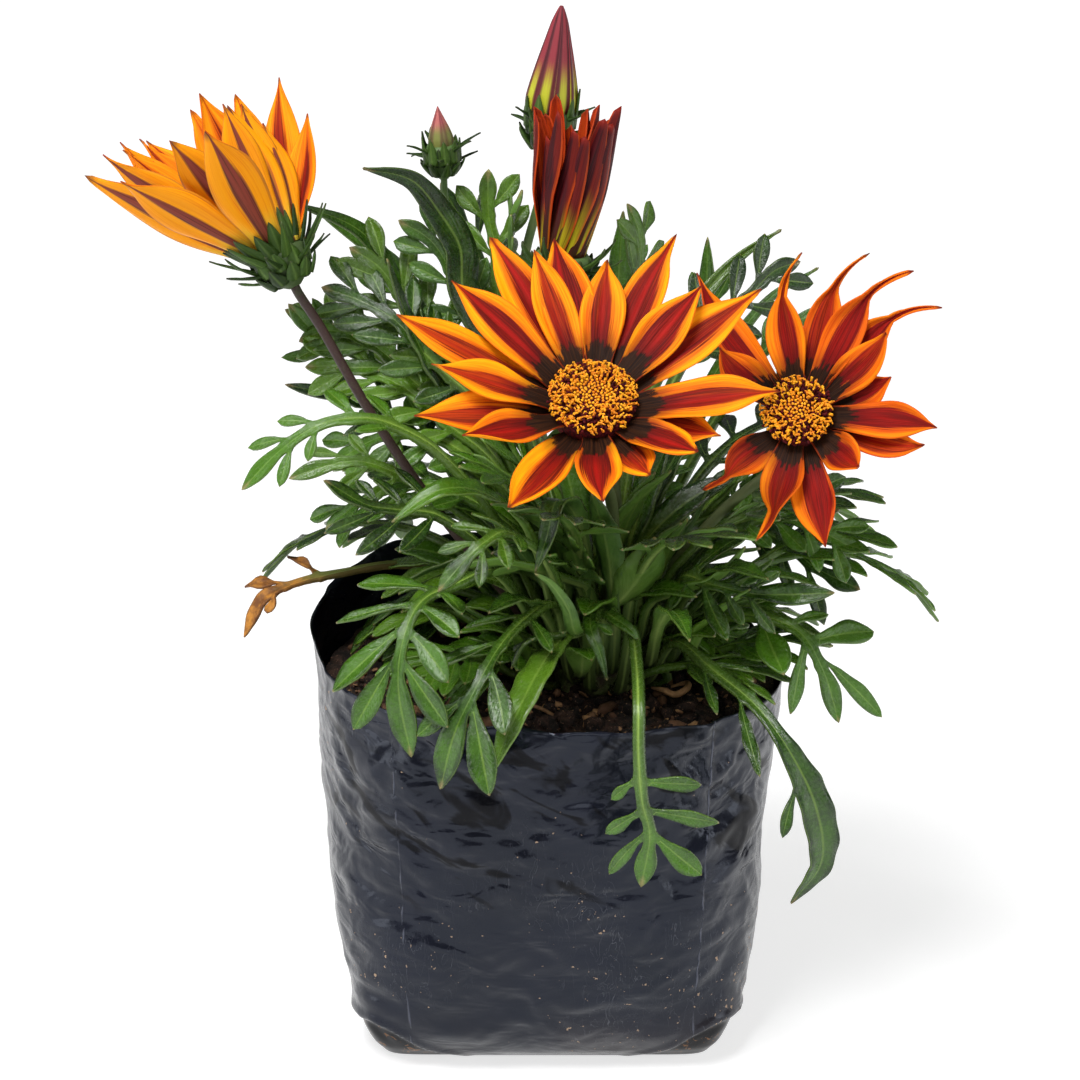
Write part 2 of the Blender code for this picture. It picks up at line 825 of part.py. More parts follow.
BLOOM_B = {
    "centre": (63, -18, 168),
    "axis": (-0.2, -0.8, 0.57),
    "petals": petals_round(
        [
            (12, 30, {"sweep": 20, "curl": 30}),
            (42, 46, {"sweep": -40, "twist": 50}),
            (60, 48, {"sweep": -50, "twist": 60}),
            (78, 46, {"sweep": -50, "twist": 60}),
            (101, 44, {"sweep": -60, "twist": 50}),
            (134, 46, {"sweep": -30, "twist": 40}),
            (152, 30, {"sweep": -30, "curl": 30}),
            (208, 30, {"sweep": 35, "curl": 25}),
            (243, 36, {"sweep": 25, "twist": 40}),
            (272, 36, {"sweep": 15}),
            (312, 26, {"curl": 40}),
            (334, 36, {"sweep": 20, "twist": 30}),
            (353, 39, {"sweep": -15}),
        ],
        8,
        15,
        9.5,
    ),
    "root": 9.0,
    "disc": (8.6, 3.6, 26),
    "cup": 7.0,
    "cup_depth": 12.0,
    "stem": 1.4,
    "lift": 60,
    "way": [(31, -3, 121), (46, -3, 139)],
    "bracts": bracts_round(7, 15, 3.0, 12, 20, -4.0),
}

BLOOM_C = {
    "centre": (-67, 0, 205),
    "axis": (-0.45, 0.25, 0.86),
    "petals": petals_round(
        [
            (216, 53),
            (232, 53),
            (246, 53),
            (258, 51),
            (271, 47),
            (287, 51),
            (304, 53),
            (326, 49),
            (350, 48),
            (15, 46),
            (40, 45),
            (65, 48),
            (90, 46),
            (120, 47),
            (152, 49),
            (186, 51),
        ],
        48,
        4,
        11,
    ),
    "root": 8.0,
    "disc": (5.4, 3.6, 24),
    "cup": 7.4,
    "cup_depth": 9.0,
    "stem": 1.25,
    "lift": 35,
    "way": [(-12, -5, 118), (-27, -6, 138), (-37, -6, 153), (-47, -4, 169), (-57, -2, 187)],
    "bracts": bracts_round(11, 17, 2.8, 42, 10, -3.5),
}

BLOOM_D = {
    "centre": (4, 5, 203),
    "axis": (0.09, 0.02, 0.995),
    "petals": [
        (30 * index, 43 - 3 * (index % 3), 9.0, 80, 10, 16, 0, PETAL_HEIGHT, 0, -32) for index in range(12)
    ],
    "root": 7.6,
    "cup": 7.4,
    "cup_depth": 9.0,
    "stem": 1.4,
    "lift": 78,
    "way": [(19, 2, 122), (16, 4, 150)],
    "bracts": bracts_round(7, 17, 3.0, 30, 40, -3.5),
}

BUD_E = {
    "centre": (1, 27, 235),
    "axis": (0.1, 0.0, 0.995),
    "outline": [(0.3, 5.2), (4.0, 6.7), (8.0, 6.1), (14.0, 4.2), (20.0, 2.6), (25.0, 1.2)],
    "length": 27.5,
    "cup": 5.9,
    "cup_depth": 11.0,
    "stem": 1.2,
    "lift": 66,
    "way": [(6, 14, 125), (-3, 22, 160), (-6, 26, 193)],
    "bracts": bracts_round(7, 13, 2.6, 38, -10, -3.0),
}

BUD_F = {
    "centre": (-27, 30, 225),
    "axis": (-0.08, 0.0, 0.995),
    "outline": [(0.3, 3.3), (2.5, 3.4), (5.0, 2.6), (8.0, 1.3)],
    "length": 11.0,
    "cup": 4.2,
    "cup_depth": 8.0,
    "stem": 0.9,
    "lift": 56,
    "way": [(4, 8, 118), (-4, 14, 150), (-15, 22, 180)],
    "bracts": bracts_round(6, 10, 2.0, 36, 10, -2.0),
}


def make_bloom(name, bloom, petal_paint, stalk_paint):
    frame = bloom_frame(bloom["centre"], bloom["axis"])
    made = [make_stalk(name + "_stalk", bloom, stalk_paint)]
    made.append(make_petals(name + "_petals", bloom["petals"], bloom["root"], frame, petal_paint))
    if "disc" in bloom:
        radius, height, sides = bloom["disc"]
        made.append(make_disc(name + "_florets", radius, height, PLATE[1] + GAP, sides, frame))
    return made


# The leaves that the front view shows, and the ones that fill the sides and the back


def leaf(lift, roll, tip, tip_start, way, lobes=(), strip=2.6):
    """A leaf from its slot's height on the crown, through points in the plant's own frame."""
    points = [Vector(point) - CROWN for point in way]
    return {
        "path": crown_slot(points[0], lift) + points,
        "roll": roll,
        "tip": tip,
        "tip_start": tip_start,
        "strip": strip,
        "lobes": lobes,
        "toward": points[len(points) // 2],
    }


def strap(lift, width, way, roll=0, lobes=()):
    """A leaf with a plain or hardly lobed blade."""
    return leaf(lift, roll, width, 0.5, way, lobes, strip=3.0)


LEAVES = {
    "front_hanging": leaf(
        12, 0, 5.0, 0.91,
        [
            (21, -28, 116),
            (22, -48, 114),
            (22, -65, 110),
            (22, -69, 100),
            (23, -70, 87),
            (25, -70, 78),
            (23, -70, 64),
        ],
        [
            (0.75, 1, 7, 60, 2.1),
            (0.75, -1, 13, 85, 3.3),
            (0.82, -1, 16, 65, 3.3),
            (0.82, 1, 10, 75, 2.6),
            (0.88, -1, 14, 50, 4.4),
            (0.88, 1, 13, 45, 2.6),
        ],
    ),
    "front_left": leaf(
        30, -10, 7.0, 0.83,
        [(-12, -28, 131), (-23, -40, 132), (-31, -50, 131), (-35, -58, 124), (-36, -62, 113), (-33, -64, 96)],
        [
            (0.58, 1, 18, 70, 4.8),
            (0.58, -1, 10, 80, 3.8),
            (0.65, 1, 18, 60, 2.4),
            (0.65, -1, 13, 75, 4.0),
            (0.72, 1, 20, 40, 5.0),
            (0.72, -1, 15, 60, 4.4),
            (0.79, 1, 18, 28, 4.6),
            (0.79, -1, 17, 42, 4.8),
        ],
    ),
    "front_second": leaf(
        22, -15, 7.0, 0.82,
        [(3, -24, 122), (-4, -38, 125), (-11, -52, 123), (-16, -62, 118), (-22, -67, 107), (-26, -68, 92)],
        [
            (0.47, 1, 13, 45, 2.6),
            (0.47, -1, 14, 50, 2.6),
            (0.60, 1, 15, 40, 3.0),
            (0.69, -1, 16, 40, 4.6),
            (0.78, -1, 20, 35, 5.8),
            (0.78, 1, 13, 32, 3.6),
        ],
    ),
    "front_strap": strap(
        15, 9.0, [(10, -26, 116), (3, -40, 117), (-3, -56, 114), (-8, -66, 107), (-14, -70, 94)]
    ),
    "right_strap": leaf(
        15, 25, 10.0, 0.60,
        [
            (32, -22, 110),
            (42, -38, 108),
            (52, -52, 104),
            (60, -61, 95),
            (66, -63, 82),
            (68, -60, 66),
            (61, -57, 53),
        ],
        [
            (0.33, -1, 8, 45, 1.8),
            (0.33, 1, 14, 30, 2.1),
            (0.45, 1, 22, 28, 2.4),
            (0.68, 1, 11, 45, 2.3),
        ],
        strip=3.4,
    ),
    "right_front": leaf(
        35, 55, 5.5, 0.76,
        [(34, -14, 124), (42, -22, 125), (51, -28, 125), (60, -34, 127), (71, -38, 129)],
        [
            (0.44, 1, 9, 85, 2.6),
            (0.44, -1, 17, 80, 5.4),
            (0.52, 1, 16, 45, 3.6),
            (0.61, -1, 11, 50, 2.6),
            (0.61, 1, 9, 50, 2.6),
            (0.70, -1, 7, 45, 2.2),
            (0.70, 1, 11, 45, 2.4),
        ],
    ),
    "right_low": leaf(
        25, 30, 5.0, 0.82,
        [(39, -10, 111), (54, -18, 115), (64, -24, 113), (70, -29, 104), (74, -31, 91)],
        [
            (0.52, 1, 19, 55, 6.2),
            (0.62, -1, 9, 60, 2.6),
            (0.71, -1, 17, 80, 5.4),
            (0.71, 1, 17, 50, 3.1),
            (0.79, -1, 19, 25, 3.3),
        ],
    ),
    "left_arm": leaf(
        48, -60, 4.0, 0.90,
        [
            (-12, -10, 138),
            (-27, -14, 158),
            (-37, -16, 165),
            (-45, -18, 168),
            (-56, -20, 167),
            (-66, -22, 161),
            (-76, -24, 151),
        ],
        [
            (0.65, 1, 8, 50, 3.8),
            (0.65, -1, 9, 25, 2.1),
            (0.73, 1, 9, 55, 3.8),
            (0.81, -1, 7, 50, 2.3),
            (0.81, 1, 8, 40, 2.3),
            (0.87, -1, 9, 35, 2.3),
            (0.87, 1, 9, 30, 2.3),
        ],
    ),
    "left_mid": leaf(
        42, -60, 4.0, 0.88,
        [(-12, -2, 128), (-27, -4, 141), (-37, -6, 147), (-47, -8, 151), (-56, -10, 150), (-65, -12, 147)],
        [
            (0.60, -1, 11, 60, 2.8),
            (0.69, -1, 11, 60, 2.5),
            (0.69, 1, 10, 60, 3.1),
            (0.78, -1, 9, 50, 2.3),
            (0.78, 1, 7, 40, 2.3),
            (0.85, 1, 8, 30, 2.0),
        ],
    ),
    "left_dark": leaf(
        36, -55, 4.0, 0.88,
        [(-12, -14, 128), (-27, -20, 143), (-38, -24, 146), (-45, -26, 148), (-55, -28, 155)],
        [
            (0.66, -1, 16, 60, 3.1),
            (0.66, 1, 14, 65, 2.8),
            (0.75, -1, 17, 48, 3.1),
            (0.75, 1, 10, 60, 2.6),
            (0.83, -1, 14, 35, 2.6),
            (0.83, 1, 7, 50, 2.3),
        ],
    ),
    "left_oval": strap(40, 7.0, [(-4, -24, 140), (-15, -32, 153), (-26, -38, 156), (-38, -42, 149)], -50),
    "centre_small": leaf(
        38, -40, 4.5, 0.88,
        [(-4, -30, 136), (-16, -42, 148), (-23, -48, 147), (-28, -50, 143), (-34, -52, 137)],
        [
            (0.70, -1, 10, 60, 3.0),
            (0.70, 1, 9, 70, 3.0),
            (0.77, -1, 10, 60, 3.0),
            (0.77, 1, 9, 60, 2.4),
            (0.84, -1, 9, 50, 2.4),
            (0.84, 1, 8, 40, 2.4),
        ],
    ),
    "right_far": leaf(
        45, 60, 5.0, 0.88,
        [(43, 14, 123), (54, 16, 126), (63, 14, 123), (70, 10, 118), (82, 6, 113)],
        [
            (0.57, -1, 10, 65, 3.1),
            (0.57, 1, 11, 60, 3.1),
            (0.69, -1, 15, 55, 4.4),
            (0.69, 1, 12, 55, 2.8),
            (0.81, -1, 9, 40, 3.1),
            (0.81, 1, 14, 40, 3.1),
        ],
    ),
    "thin_lobed": leaf(
        40, -45, 3.0, 0.86,
        [(-9, 10, 139), (-25, 12, 152), (-33, 12, 160), (-42, 12, 166), (-62, 10, 173)],
        [
            (0.62, 1, 9, 60, 3.0),
            (0.62, -1, 10, 60, 2.6),
            (0.74, -1, 11, 50, 2.2),
            (0.74, 1, 12, 40, 2.2),
            (0.82, 1, 9, 30, 2.0),
        ],
    ),
    "back_arch": leaf(
        42, -45, 4.0, 0.92,
        [(-12, 26, 139), (-28, 28, 161), (-42, 28, 173), (-54, 26, 181), (-61, 24, 190)],
        [
            (0.68, -1, 11, 60, 2.8),
            (0.68, 1, 10, 55, 2.6),
            (0.77, -1, 13, 55, 2.5),
            (0.77, 1, 10, 45, 2.6),
            (0.86, -1, 12, 45, 2.4),
            (0.86, 1, 11, 35, 2.4),
        ],
    ),
    "antler": leaf(
        50, -45, 4.0, 0.92,
        [(-8, 32, 143), (-20, 36, 164), (-31, 36, 178), (-42, 36, 186), (-54, 34, 195)],
        [
            (0.70, 1, 9, 45, 2.6),
            (0.78, 1, 10, 40, 2.6),
            (0.78, -1, 9, 50, 2.4),
            (0.87, -1, 8, 50, 2.3),
            (0.87, 1, 10, 40, 2.6),
        ],
    ),
    "strap_left": strap(
        58, 6.0, [(-4, 22, 149), (-15, 26, 175), (-24, 26, 197), (-31, 24, 212), (-47, 18, 223)]
    ),
    "strap_inner": strap(
        62, 6.5, [(0, 30, 149), (-10, 34, 173), (-17, 34, 189), (-25, 32, 205), (-41, 26, 222)], 0,
        [(0.76, -1, 12, 40, 2.8)],
    ),
    "upright_left": strap(
        55, 7.0, [(-7, 16, 145), (-20, 18, 167), (-27, 18, 181), (-31, 18, 193), (-34, 16, 204)], 0,
        [(0.74, 1, 15, 35, 3.1)],
    ),
    "back_lobed": leaf(
        66, -20, 4.0, 0.91,
        [(1, 38, 146), (-7, 44, 172), (-10, 44, 192), (-14, 42, 204), (-20, 40, 217)],
        [
            (0.72, -1, 12, 40, 2.8),
            (0.79, 1, 13, 45, 2.6),
            (0.79, -1, 13, 30, 2.4),
            (0.86, 1, 12, 35, 2.4),
            (0.86, -1, 9, 35, 2.2),
        ],
    ),
    "behind_bloom": leaf(
        70, 0, 6.0, 0.70,
        [(12, 40, 146), (16, 46, 172), (17, 46, 188), (18, 46, 206)],
        [(0.78, -1, 10, 25, 2.4), (0.86, 1, 8, 25, 2.2)],
        strip=4.0,
    ),
    "back_right_up": leaf(
        60, 0, 4.5, 0.75,
        [(25, 36, 144), (33, 42, 165), (39, 44, 181), (39, 44, 200)],
        [(0.68, 1, 9, 35, 2.6), (0.84, 1, 9, 22, 2.4), (0.84, -1, 7, 25, 2.2)],
    ),
    "thin_strap": strap(55, 2.8, [(27, 30, 143), (38, 34, 173), (48, 36, 190), (60, 36, 200)]),
    "back_antler": leaf(
        48, 0, 3.2, 0.91,
        [(30, 38, 138), (41, 42, 165), (51, 42, 181), (62, 42, 191)],
        [(0.72, 1, 9, 35, 2.2), (0.72, -1, 8, 40, 2.2), (0.83, 1, 9, 28, 2.2), (0.83, -1, 8, 30, 2.0)],
    ),
}

DEAD_LEAF = leaf(
    20, 0, 3.0, 0.84,
    [(-18, 18, 113), (-39, 16, 117), (-54, 12, 116), (-66, 6, 115), (-74, 2, 112), (-79, 0, 102)],
    [(0.72, 1, 11, 80, 1.8), (0.82, 1, 9, 35, 3.0)],
)

# Filling leaves: (how many, first azimuth, last azimuth, slot height, length, start and end slope)
FILLERS = [
    ("back_low", 6, 8, 168, 14, 92, 62, -48),
    ("back_middle", 5, 25, 150, 36, 88, 68, -10),
    ("front_middle", 4, -150, -20, 52, 66, 74, 8),
]


def filler_leaf(azimuth, lift, length, rise, fall, chance):
    """A lobed leaf that arches out from the crown, its lobes by rule with small chance changes."""
    flat = Vector((math.cos(math.radians(azimuth)), math.sin(math.radians(azimuth)), 0.0))
    start = crown_slot(flat, lift)
    place = start[-1].copy()
    steps = 5
    points = []
    for step in range(steps):
        slope = math.radians(rise + (fall - rise) * step / (steps - 1))
        place = place + (flat * math.cos(slope) + Vector((0, 0, 1)) * math.sin(slope)) * (length / steps)
        points.append(place.copy())
    lobes = []
    for pair in range(3):
        share = 0.57 + 0.12 * pair
        for side in (-1, 1):
            size = (13.0 + 3.0 * math.sin(math.pi * (pair + 1) / 4)) * chance.uniform(0.8, 1.15)
            lobes.append((share, side, size, 60 - 13 * pair, 3.8))
    return {
        "path": start + points,
        "roll": chance.uniform(-12, 12),
        "tip": 4.6,
        "tip_start": 0.87,
        "strip": 2.6,
        "lobes": lobes,
        "toward": points[2],
    }


# Young leaves on the crown itself: (how many, first azimuth, last azimuth, slot height, length)
YOUNG = [(5, -160, -25, 38, 40), (5, -140, -40, 58, 50), (4, 20, 150, 45, 42)]
YOUNG_WIDTH = 7.0


def grow_young_leaves(crown, standing):
    """Short plain leaves that grow out of the crown wherever there is room, fused to it."""
    chance = random.Random(11)
    grown = []
    for count, first, last, lift, length in YOUNG:
        for index in range(count):
            azimuth = first + (last - first) * index / (count - 1)
            size = length * chance.uniform(0.85, 1.15)
            shape = filler_leaf(azimuth, lift, size, 80, 30, chance)
            shape["path"][0] *= (CROWN_RADIUS - 1.5) / shape["path"][0].length
            shape["lobes"] = []
            shape["tip"] = YOUNG_WIDTH * chance.uniform(0.8, 1.2)
            shape["tip_start"] = 0.45
            made = make_leaf("young", shape)
            made.location = CROWN * MM
            bpy.context.view_layer.update()
            if settle(made, shape["toward"], standing):
                grown.append(made)
            else:
                bpy.data.objects.remove(made, do_unlink=True)
    return union("crown", crown, grown, "crown_green")


def main():
    bag = make_bag()
    soil = freeze(make_soil())
    crown = freeze(make_crown())
    blooms = []
    blooms += make_bloom("bloom_front", BLOOM_A, "petal_orange", "stalk_green")
    blooms += make_bloom("bloom_right", BLOOM_B, "petal_orange", "stalk_green")
    blooms += make_bloom("bloom_left", BLOOM_C, "petal_orange", "stalk_purple")
    blooms += make_bloom("bloom_closing", BLOOM_D, "petal_closing", "stalk_green")
    for name, bud in (("bud_tall", BUD_E), ("bud_small", BUD_F)):
        blooms.append(make_stalk(name + "_stalk", bud, "stalk_green"))
        blooms.append(make_bud(name + "_petals", bud, "bud_pink"))
    bpy.context.view_layer.update()
    crown_tree = grown_tree(crown, grow=0.05)
    standing = [crown_tree] + [grown_tree(solid, grow=0.05) for solid in [bag, soil] + blooms]
    leaves = [("leaf_" + name, shape, "leaf_green") for name, shape in LEAVES.items()]
    leaves.append(("leaf_dead", DEAD_LEAF, "leaf_dead"))
    # The steepest leaves have the least room, so they are set first
    leaves.sort(key=lambda entry: -entry[1]["path"][0].z)
    chance = random.Random(5)
    for name, count, first, last, lift, length, rise, fall in FILLERS:
        for index in range(count):
            azimuth = first + (last - first) * index / (count - 1)
            size = length * chance.uniform(0.88, 1.08)
            shape = filler_leaf(azimuth, lift, size, rise, fall, chance)
            leaves.append((f"leaf_{name}_{index + 1}", shape, "leaf_green"))
    for name, shape, paint in leaves:
        made = make_leaf(name, shape, paint)
        made.location = CROWN * MM
        bpy.context.view_layer.update()
        settle(made, shape["toward"], standing)
    standing.remove(crown_tree)
    grow_young_leaves(crown, standing)


main()
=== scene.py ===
import math
import random

import bpy
from mathutils import Matrix, Vector, noise
from mathutils.kdtree import KDTree


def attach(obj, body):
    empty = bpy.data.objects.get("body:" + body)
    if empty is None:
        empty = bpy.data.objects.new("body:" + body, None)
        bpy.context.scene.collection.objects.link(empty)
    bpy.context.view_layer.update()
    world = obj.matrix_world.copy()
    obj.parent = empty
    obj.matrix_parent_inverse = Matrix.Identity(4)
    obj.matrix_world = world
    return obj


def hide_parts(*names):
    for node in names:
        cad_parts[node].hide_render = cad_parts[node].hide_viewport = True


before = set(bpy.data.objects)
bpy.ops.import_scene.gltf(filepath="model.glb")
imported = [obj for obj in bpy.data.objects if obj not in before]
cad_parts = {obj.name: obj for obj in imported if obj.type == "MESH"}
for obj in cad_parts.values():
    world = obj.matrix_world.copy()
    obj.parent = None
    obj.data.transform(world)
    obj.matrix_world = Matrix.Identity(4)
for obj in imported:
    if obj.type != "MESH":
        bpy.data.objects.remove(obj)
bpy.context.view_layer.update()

# A potted gazania in a film nursery bag. Lengths are millimetres until a mesh is made.
mm = 0.001
upward = Vector((0, 0, 1))
crown = {
    "place": Vector((14, 0, 91.3)),
    "radius": 14.0,
    "gap": 0.3,  # between the dome and what grows on it
    "neck": 5,
    "turn": 40,  # degrees by which a leaf may turn to find its node
    "lift": 24,
    "near": 0.7,  # how close to its node a leaf has to lie
}


# Numbers and curves

def tint(red, green, blue):
    # a screen colour, 0 to 255, as the linear colour that shaders take
    parts = [part / 255 for part in (red, green, blue)]
    linear = [part / 12.92 if part < 0.04045 else ((part + 0.055) / 1.055) ** 2.4 for part in parts]
    return (*linear, 1.0)


def ease(value, low, high):
    step = min(1.0, max(0.0, (value - low) / (high - low)))
    return step * step * (3 - 2 * step)


def around(angle, reach=1.0, height=0.0):
    # the place at an angle round the upright axis
    return Vector((reach * math.cos(angle), reach * math.sin(angle), height))


def spread(count, first, last):
    return [first + (last - first) * index / (count - 1) for index in range(count)]


def drawn(chance):
    # the three numbers by which a leaf's, petal's or floret's colour differs
    return chance.random(), chance.random(), chance.random()


def anyWay(chance, size=1.0):
    return Vector([chance.uniform(-size, size) for axis in range(3)])


def addObject(name, data):
    made = bpy.data.objects.new(name, data)
    bpy.context.scene.collection.objects.link(made)
    return made


def cubic(start, end, slopeIn, slopeOut, step):
    square = step * step
    cube = square * step
    return (
        start * (2 * cube - 3 * square + 1)
        + slopeIn * (cube - 2 * square + step)
        + end * (3 * square - 2 * cube)
        + slopeOut * (cube - square)
    )


def readCurve(knots, place):
    # a smooth curve through (place, value) pairs
    last = len(knots) - 1
    place = min(max(place, knots[0][0]), knots[last][0])
    index = 0
    while index < last - 1 and knots[index + 1][0] < place:
        index += 1

    def slope(at):
        low, high = knots[max(0, at - 1)], knots[min(last, at + 1)]
        return (high[1] - low[1]) / (high[0] - low[0])

    (first, start), (second, end) = knots[index], knots[index + 1]
    span = second - first
    return cubic(start, end, slope(index) * span, slope(index + 1) * span, (place - first) / span)


def readRound(values, angle):
    # a closed ring of values, read at an angle
    place = (angle % math.tau) / math.tau * len(values)
    first = int(place)
    before, start, end, after = [values[(first + offset) % len(values)] for offset in (-1, 0, 1, 2)]
    return cubic(start, end, (end - before) / 2, (after - start) / 2, place - first)


def smoothPath(points, steps=8):
    ends = [points[0] * 2 - points[1]] + points + [points[-1] * 2 - points[-2]]
    path = []
    for first in range(len(points) - 1):
        before, start, end, after = ends[first : first + 4]
        chord = (end - start).length
        slopeIn = (end - before) * (chord / (chord + (start - before).length))
        slopeOut = (after - start) * (chord / (chord + (after - end).length))
        path += [cubic(start, end, slopeIn, slopeOut, step / steps) for step in range(steps)]
    path.append(points[-1].copy())
    return path


class Rib:
    # a curve that gives a place, forward, sideways and up at each share of its length
    def __init__(self, path, roll=0.0):
        self.path = path
        self.roll = math.radians(roll)
        self.lengths = [0.0]
        for before, after in zip(path, path[1:]):
            self.lengths.append(self.lengths[-1] + (after - before).length)
        self.length = self.lengths[-1]
        up = upward.copy()
        self.ups = []
        for index in range(len(path)):
            forward = self.forward(index)
            up = (up - forward * up.dot(forward)).normalized()
            self.ups.append(up)

    def forward(self, index):
        before = self.path[max(0, index - 1)]
        after = self.path[min(len(self.path) - 1, index + 1)]
        return (after - before).normalized()

    def at(self, share):
        distance = min(max(share, 0.0), 1.0) * self.length
        index = 0
        while index < len(self.path) - 2 and self.lengths[index + 1] < distance:
            index += 1
        part = (distance - self.lengths[index]) / (self.lengths[index + 1] - self.lengths[index])
        place = self.path[index].lerp(self.path[index + 1], part)
        forward = self.forward(index).lerp(self.forward(index + 1), part).normalized()
        up = self.ups[index].lerp(self.ups[index + 1], part)
        up = (up - forward * up.dot(forward)).normalized()
        up = Matrix.Rotation(self.roll * share, 3, forward) @ up
        return place, forward, forward.cross(up), up


# Shader sums, and nodes by one method

class Wire:
    def __init__(self, paint, socket):
        self.paint, self.socket = paint, socket

    def sum(self, operation, *values):
        sockets = dict(enumerate(values))
        return self.paint.node("ShaderNodeMath", {"operation": operation}, sockets)

    def __add__(self, other):
        return self.sum("ADD", self, other)

    def __sub__(self, other):
        return self.sum("SUBTRACT", self, other)

    def __rsub__(self, other):
        return self.sum("SUBTRACT", other, self)

    def __mul__(self, other):
        return self.sum("MULTIPLY", self, other)

    def __truediv__(self, other):
        return self.sum("DIVIDE", self, other)

    def __pow__(self, other):
        return self.sum("POWER", self, other)

    def __abs__(self):
        return self.sum("ABSOLUTE", self)

    __radd__ = __add__
    __rmul__ = __mul__


class Paint:
    def __init__(self, name, **values):
        self.material = bpy.data.materials.new(name)
        self.material.use_nodes = True
        self.tree = self.material.node_tree
        self.shader = self.tree.nodes["Principled BSDF"]
        for socket, value in values.items():
            self.shader.inputs[socket.replace("_", " ")].default_value = value

    def node(self, kind, settings=None, sockets=None, output=0):
        made = self.tree.nodes.new(kind)
        for name, value in (settings or {}).items():
            setattr(made, name, value)
        for name, value in (sockets or {}).items():
            if isinstance(value, Wire):
                self.tree.links.new(value.socket, made.inputs[name])
            else:
                made.inputs[name].default_value = value
        return Wire(self, made.outputs[output])

    def split(self, vector):
        made = self.tree.nodes.new("ShaderNodeSeparateXYZ")
        self.tree.links.new(vector.socket, made.inputs[0])
        return [Wire(self, output) for output in made.outputs]

    def join(self, *parts):
        return self.node("ShaderNodeCombineXYZ", {}, dict(enumerate(parts)))

    def blade(self):
        # across a blade, 0 to 1, along it from its root, and away from its middle line
        across, along = self.split(self.node("ShaderNodeUVMap", {"uv_map": "blade"}))[:2]
        return across, along, abs(across * 2 - 1)

    def marks(self, name):
        return self.split(self.node("ShaderNodeAttribute", {"attribute_name": name}, output="Vector"))

    def place(self):
        return self.node("ShaderNodeTexCoord", output="Object")

    def stretched(self, place, factors):
        return self.node("ShaderNodeVectorMath", {"operation": "MULTIPLY"}, {0: place, 1: factors})

    def cloud(self, place, scale, detail, rough=0.5, twist=0.0):
        sockets = {"Vector": place, "Scale": scale, "Detail": detail, "Roughness": rough}
        return self.node("ShaderNodeTexNoise", {}, sockets | {"Distortion": twist})

    def ease(self, value, low, high):
        sockets = {"Value": value, "From Min": low, "From Max": high}
        return self.node("ShaderNodeMapRange", {"interpolation_type": "SMOOTHSTEP"}, sockets)

    def mix(self, share, first, second):
        return self.node("ShaderNodeMix", {"data_type": "RGBA"}, {0: share, 6: first, 7: second}, 2)

    def feed(self, name, wire):
        self.tree.links.new(wire.socket, self.shader.inputs[name])

    def blend(self, share, values):
        # a second shader over the first one
        first = Wire(self, self.shader.outputs[0])
        second = self.node("ShaderNodeBsdfPrincipled", {}, values)
        both = self.node("ShaderNodeMixShader", {}, {0: share, 1: first, 2: second})
        self.tree.links.new(both.socket, self.tree.nodes["Material Output"].inputs["Surface"])

    def finish(self, colour, rough, height, strength, reach):
        # the relief's height is a wire, and its reach is in millimetres
        self.feed("Base Color", colour)
        self.feed("Roughness", rough)
        sockets = {"Height": height, "Strength": strength, "Distance": reach * mm}
        self.feed("Normal", self.node("ShaderNodeBump", {}, sockets))
        return self


# A piece's points and faces, with what its paint reads

class Growth:
    def __init__(self):
        self.points, self.faces, self.paints = [], [], []
        self.blade, self.marks, self.own, self.thick = [], [], [], []

    def point(self, place, across=0.5, along=0.0, marks=(0, 0, 0), own=(0, 0, 0), thick=1.0):
        self.points.append(place)
        self.blade.append((across, along))
        self.marks.append(marks)
        self.own.append(own)
        self.thick.append(thick)
        return len(self.points) - 1

    def ring(self, sides, spotAt, along=0.0, marks=(0, 0, 0)):
        # a closed row of points; spotAt gives the place at an angle
        angles = [math.tau * index / sides for index in range(sides)]
        return [
            self.point(spotAt(angle), abs(2 * index / sides - 1), along, marks)
            for index, angle in enumerate(angles)
        ]

    def cap(self, sides, place, marks=(0, 0, 0)):
        # a row whose points are one, which closes a skin
        return [self.point(place, marks=marks)] * sides

    def skin(self, rows, closed=False, paint=0):
        # four-sided faces between rows of points, three-sided where a row ends in one point
        for before, after in zip(rows, rows[1:]):
            count = len(before)
            for column in range(count if closed else count - 1):
                beside = (column + 1) % count
                corners = (before[column], before[beside], after[beside], after[column])
                corners = tuple(dict.fromkeys(corners))
                if len(corners) > 2:
                    self.faces.append(corners)
                    self.paints.append(paint)

    def piece(self, name, paints, node, slot, sheet=0.0, thinnest=1.0):
        # sheet is the thickness of a thin piece; points with a low thick share get only thinnest of it
        mesh = bpy.data.meshes.new(name)
        mesh.from_pydata([tuple(point * mm) for point in self.points], [], self.faces)
        for paint in paints:
            mesh.materials.append(paint.material)
        mesh.polygons.foreach_set("material_index", self.paints)
        mesh.shade_smooth()
        layer = mesh.uv_layers.new(name="blade")
        corners = [0] * len(mesh.loops)
        mesh.loops.foreach_get("vertex_index", corners)
        layer.data.foreach_set("uv", [part for corner in corners for part in self.blade[corner]])
        for title, values in (("marks", self.marks), ("own", self.own)):
            attribute = mesh.attributes.new(title, "FLOAT_VECTOR", "POINT")
            attribute.data.foreach_set("vector", [part for value in values for part in value])
        made = addObject(name, mesh)
        if sheet:
            shell = made.modifiers.new("thickness", "SOLIDIFY")
            shell.thickness = sheet * mm
            shell.material_offset = len(paints) - 1
            if thinnest < 1:
                group = made.vertex_groups.new(name="thick")
                for share in sorted(set(self.thick)):
                    members = [index for index, value in enumerate(self.thick) if value == share]
                    group.add(members, share, "REPLACE")
                shell.vertex_group = "thick"
                shell.thickness_vertex_group = thinnest
        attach(made, "root")
        if node:
            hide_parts(node)


def pieceName(node):
    first, *others = node.split("_")
    return first + "".join(word.title() for word in others)


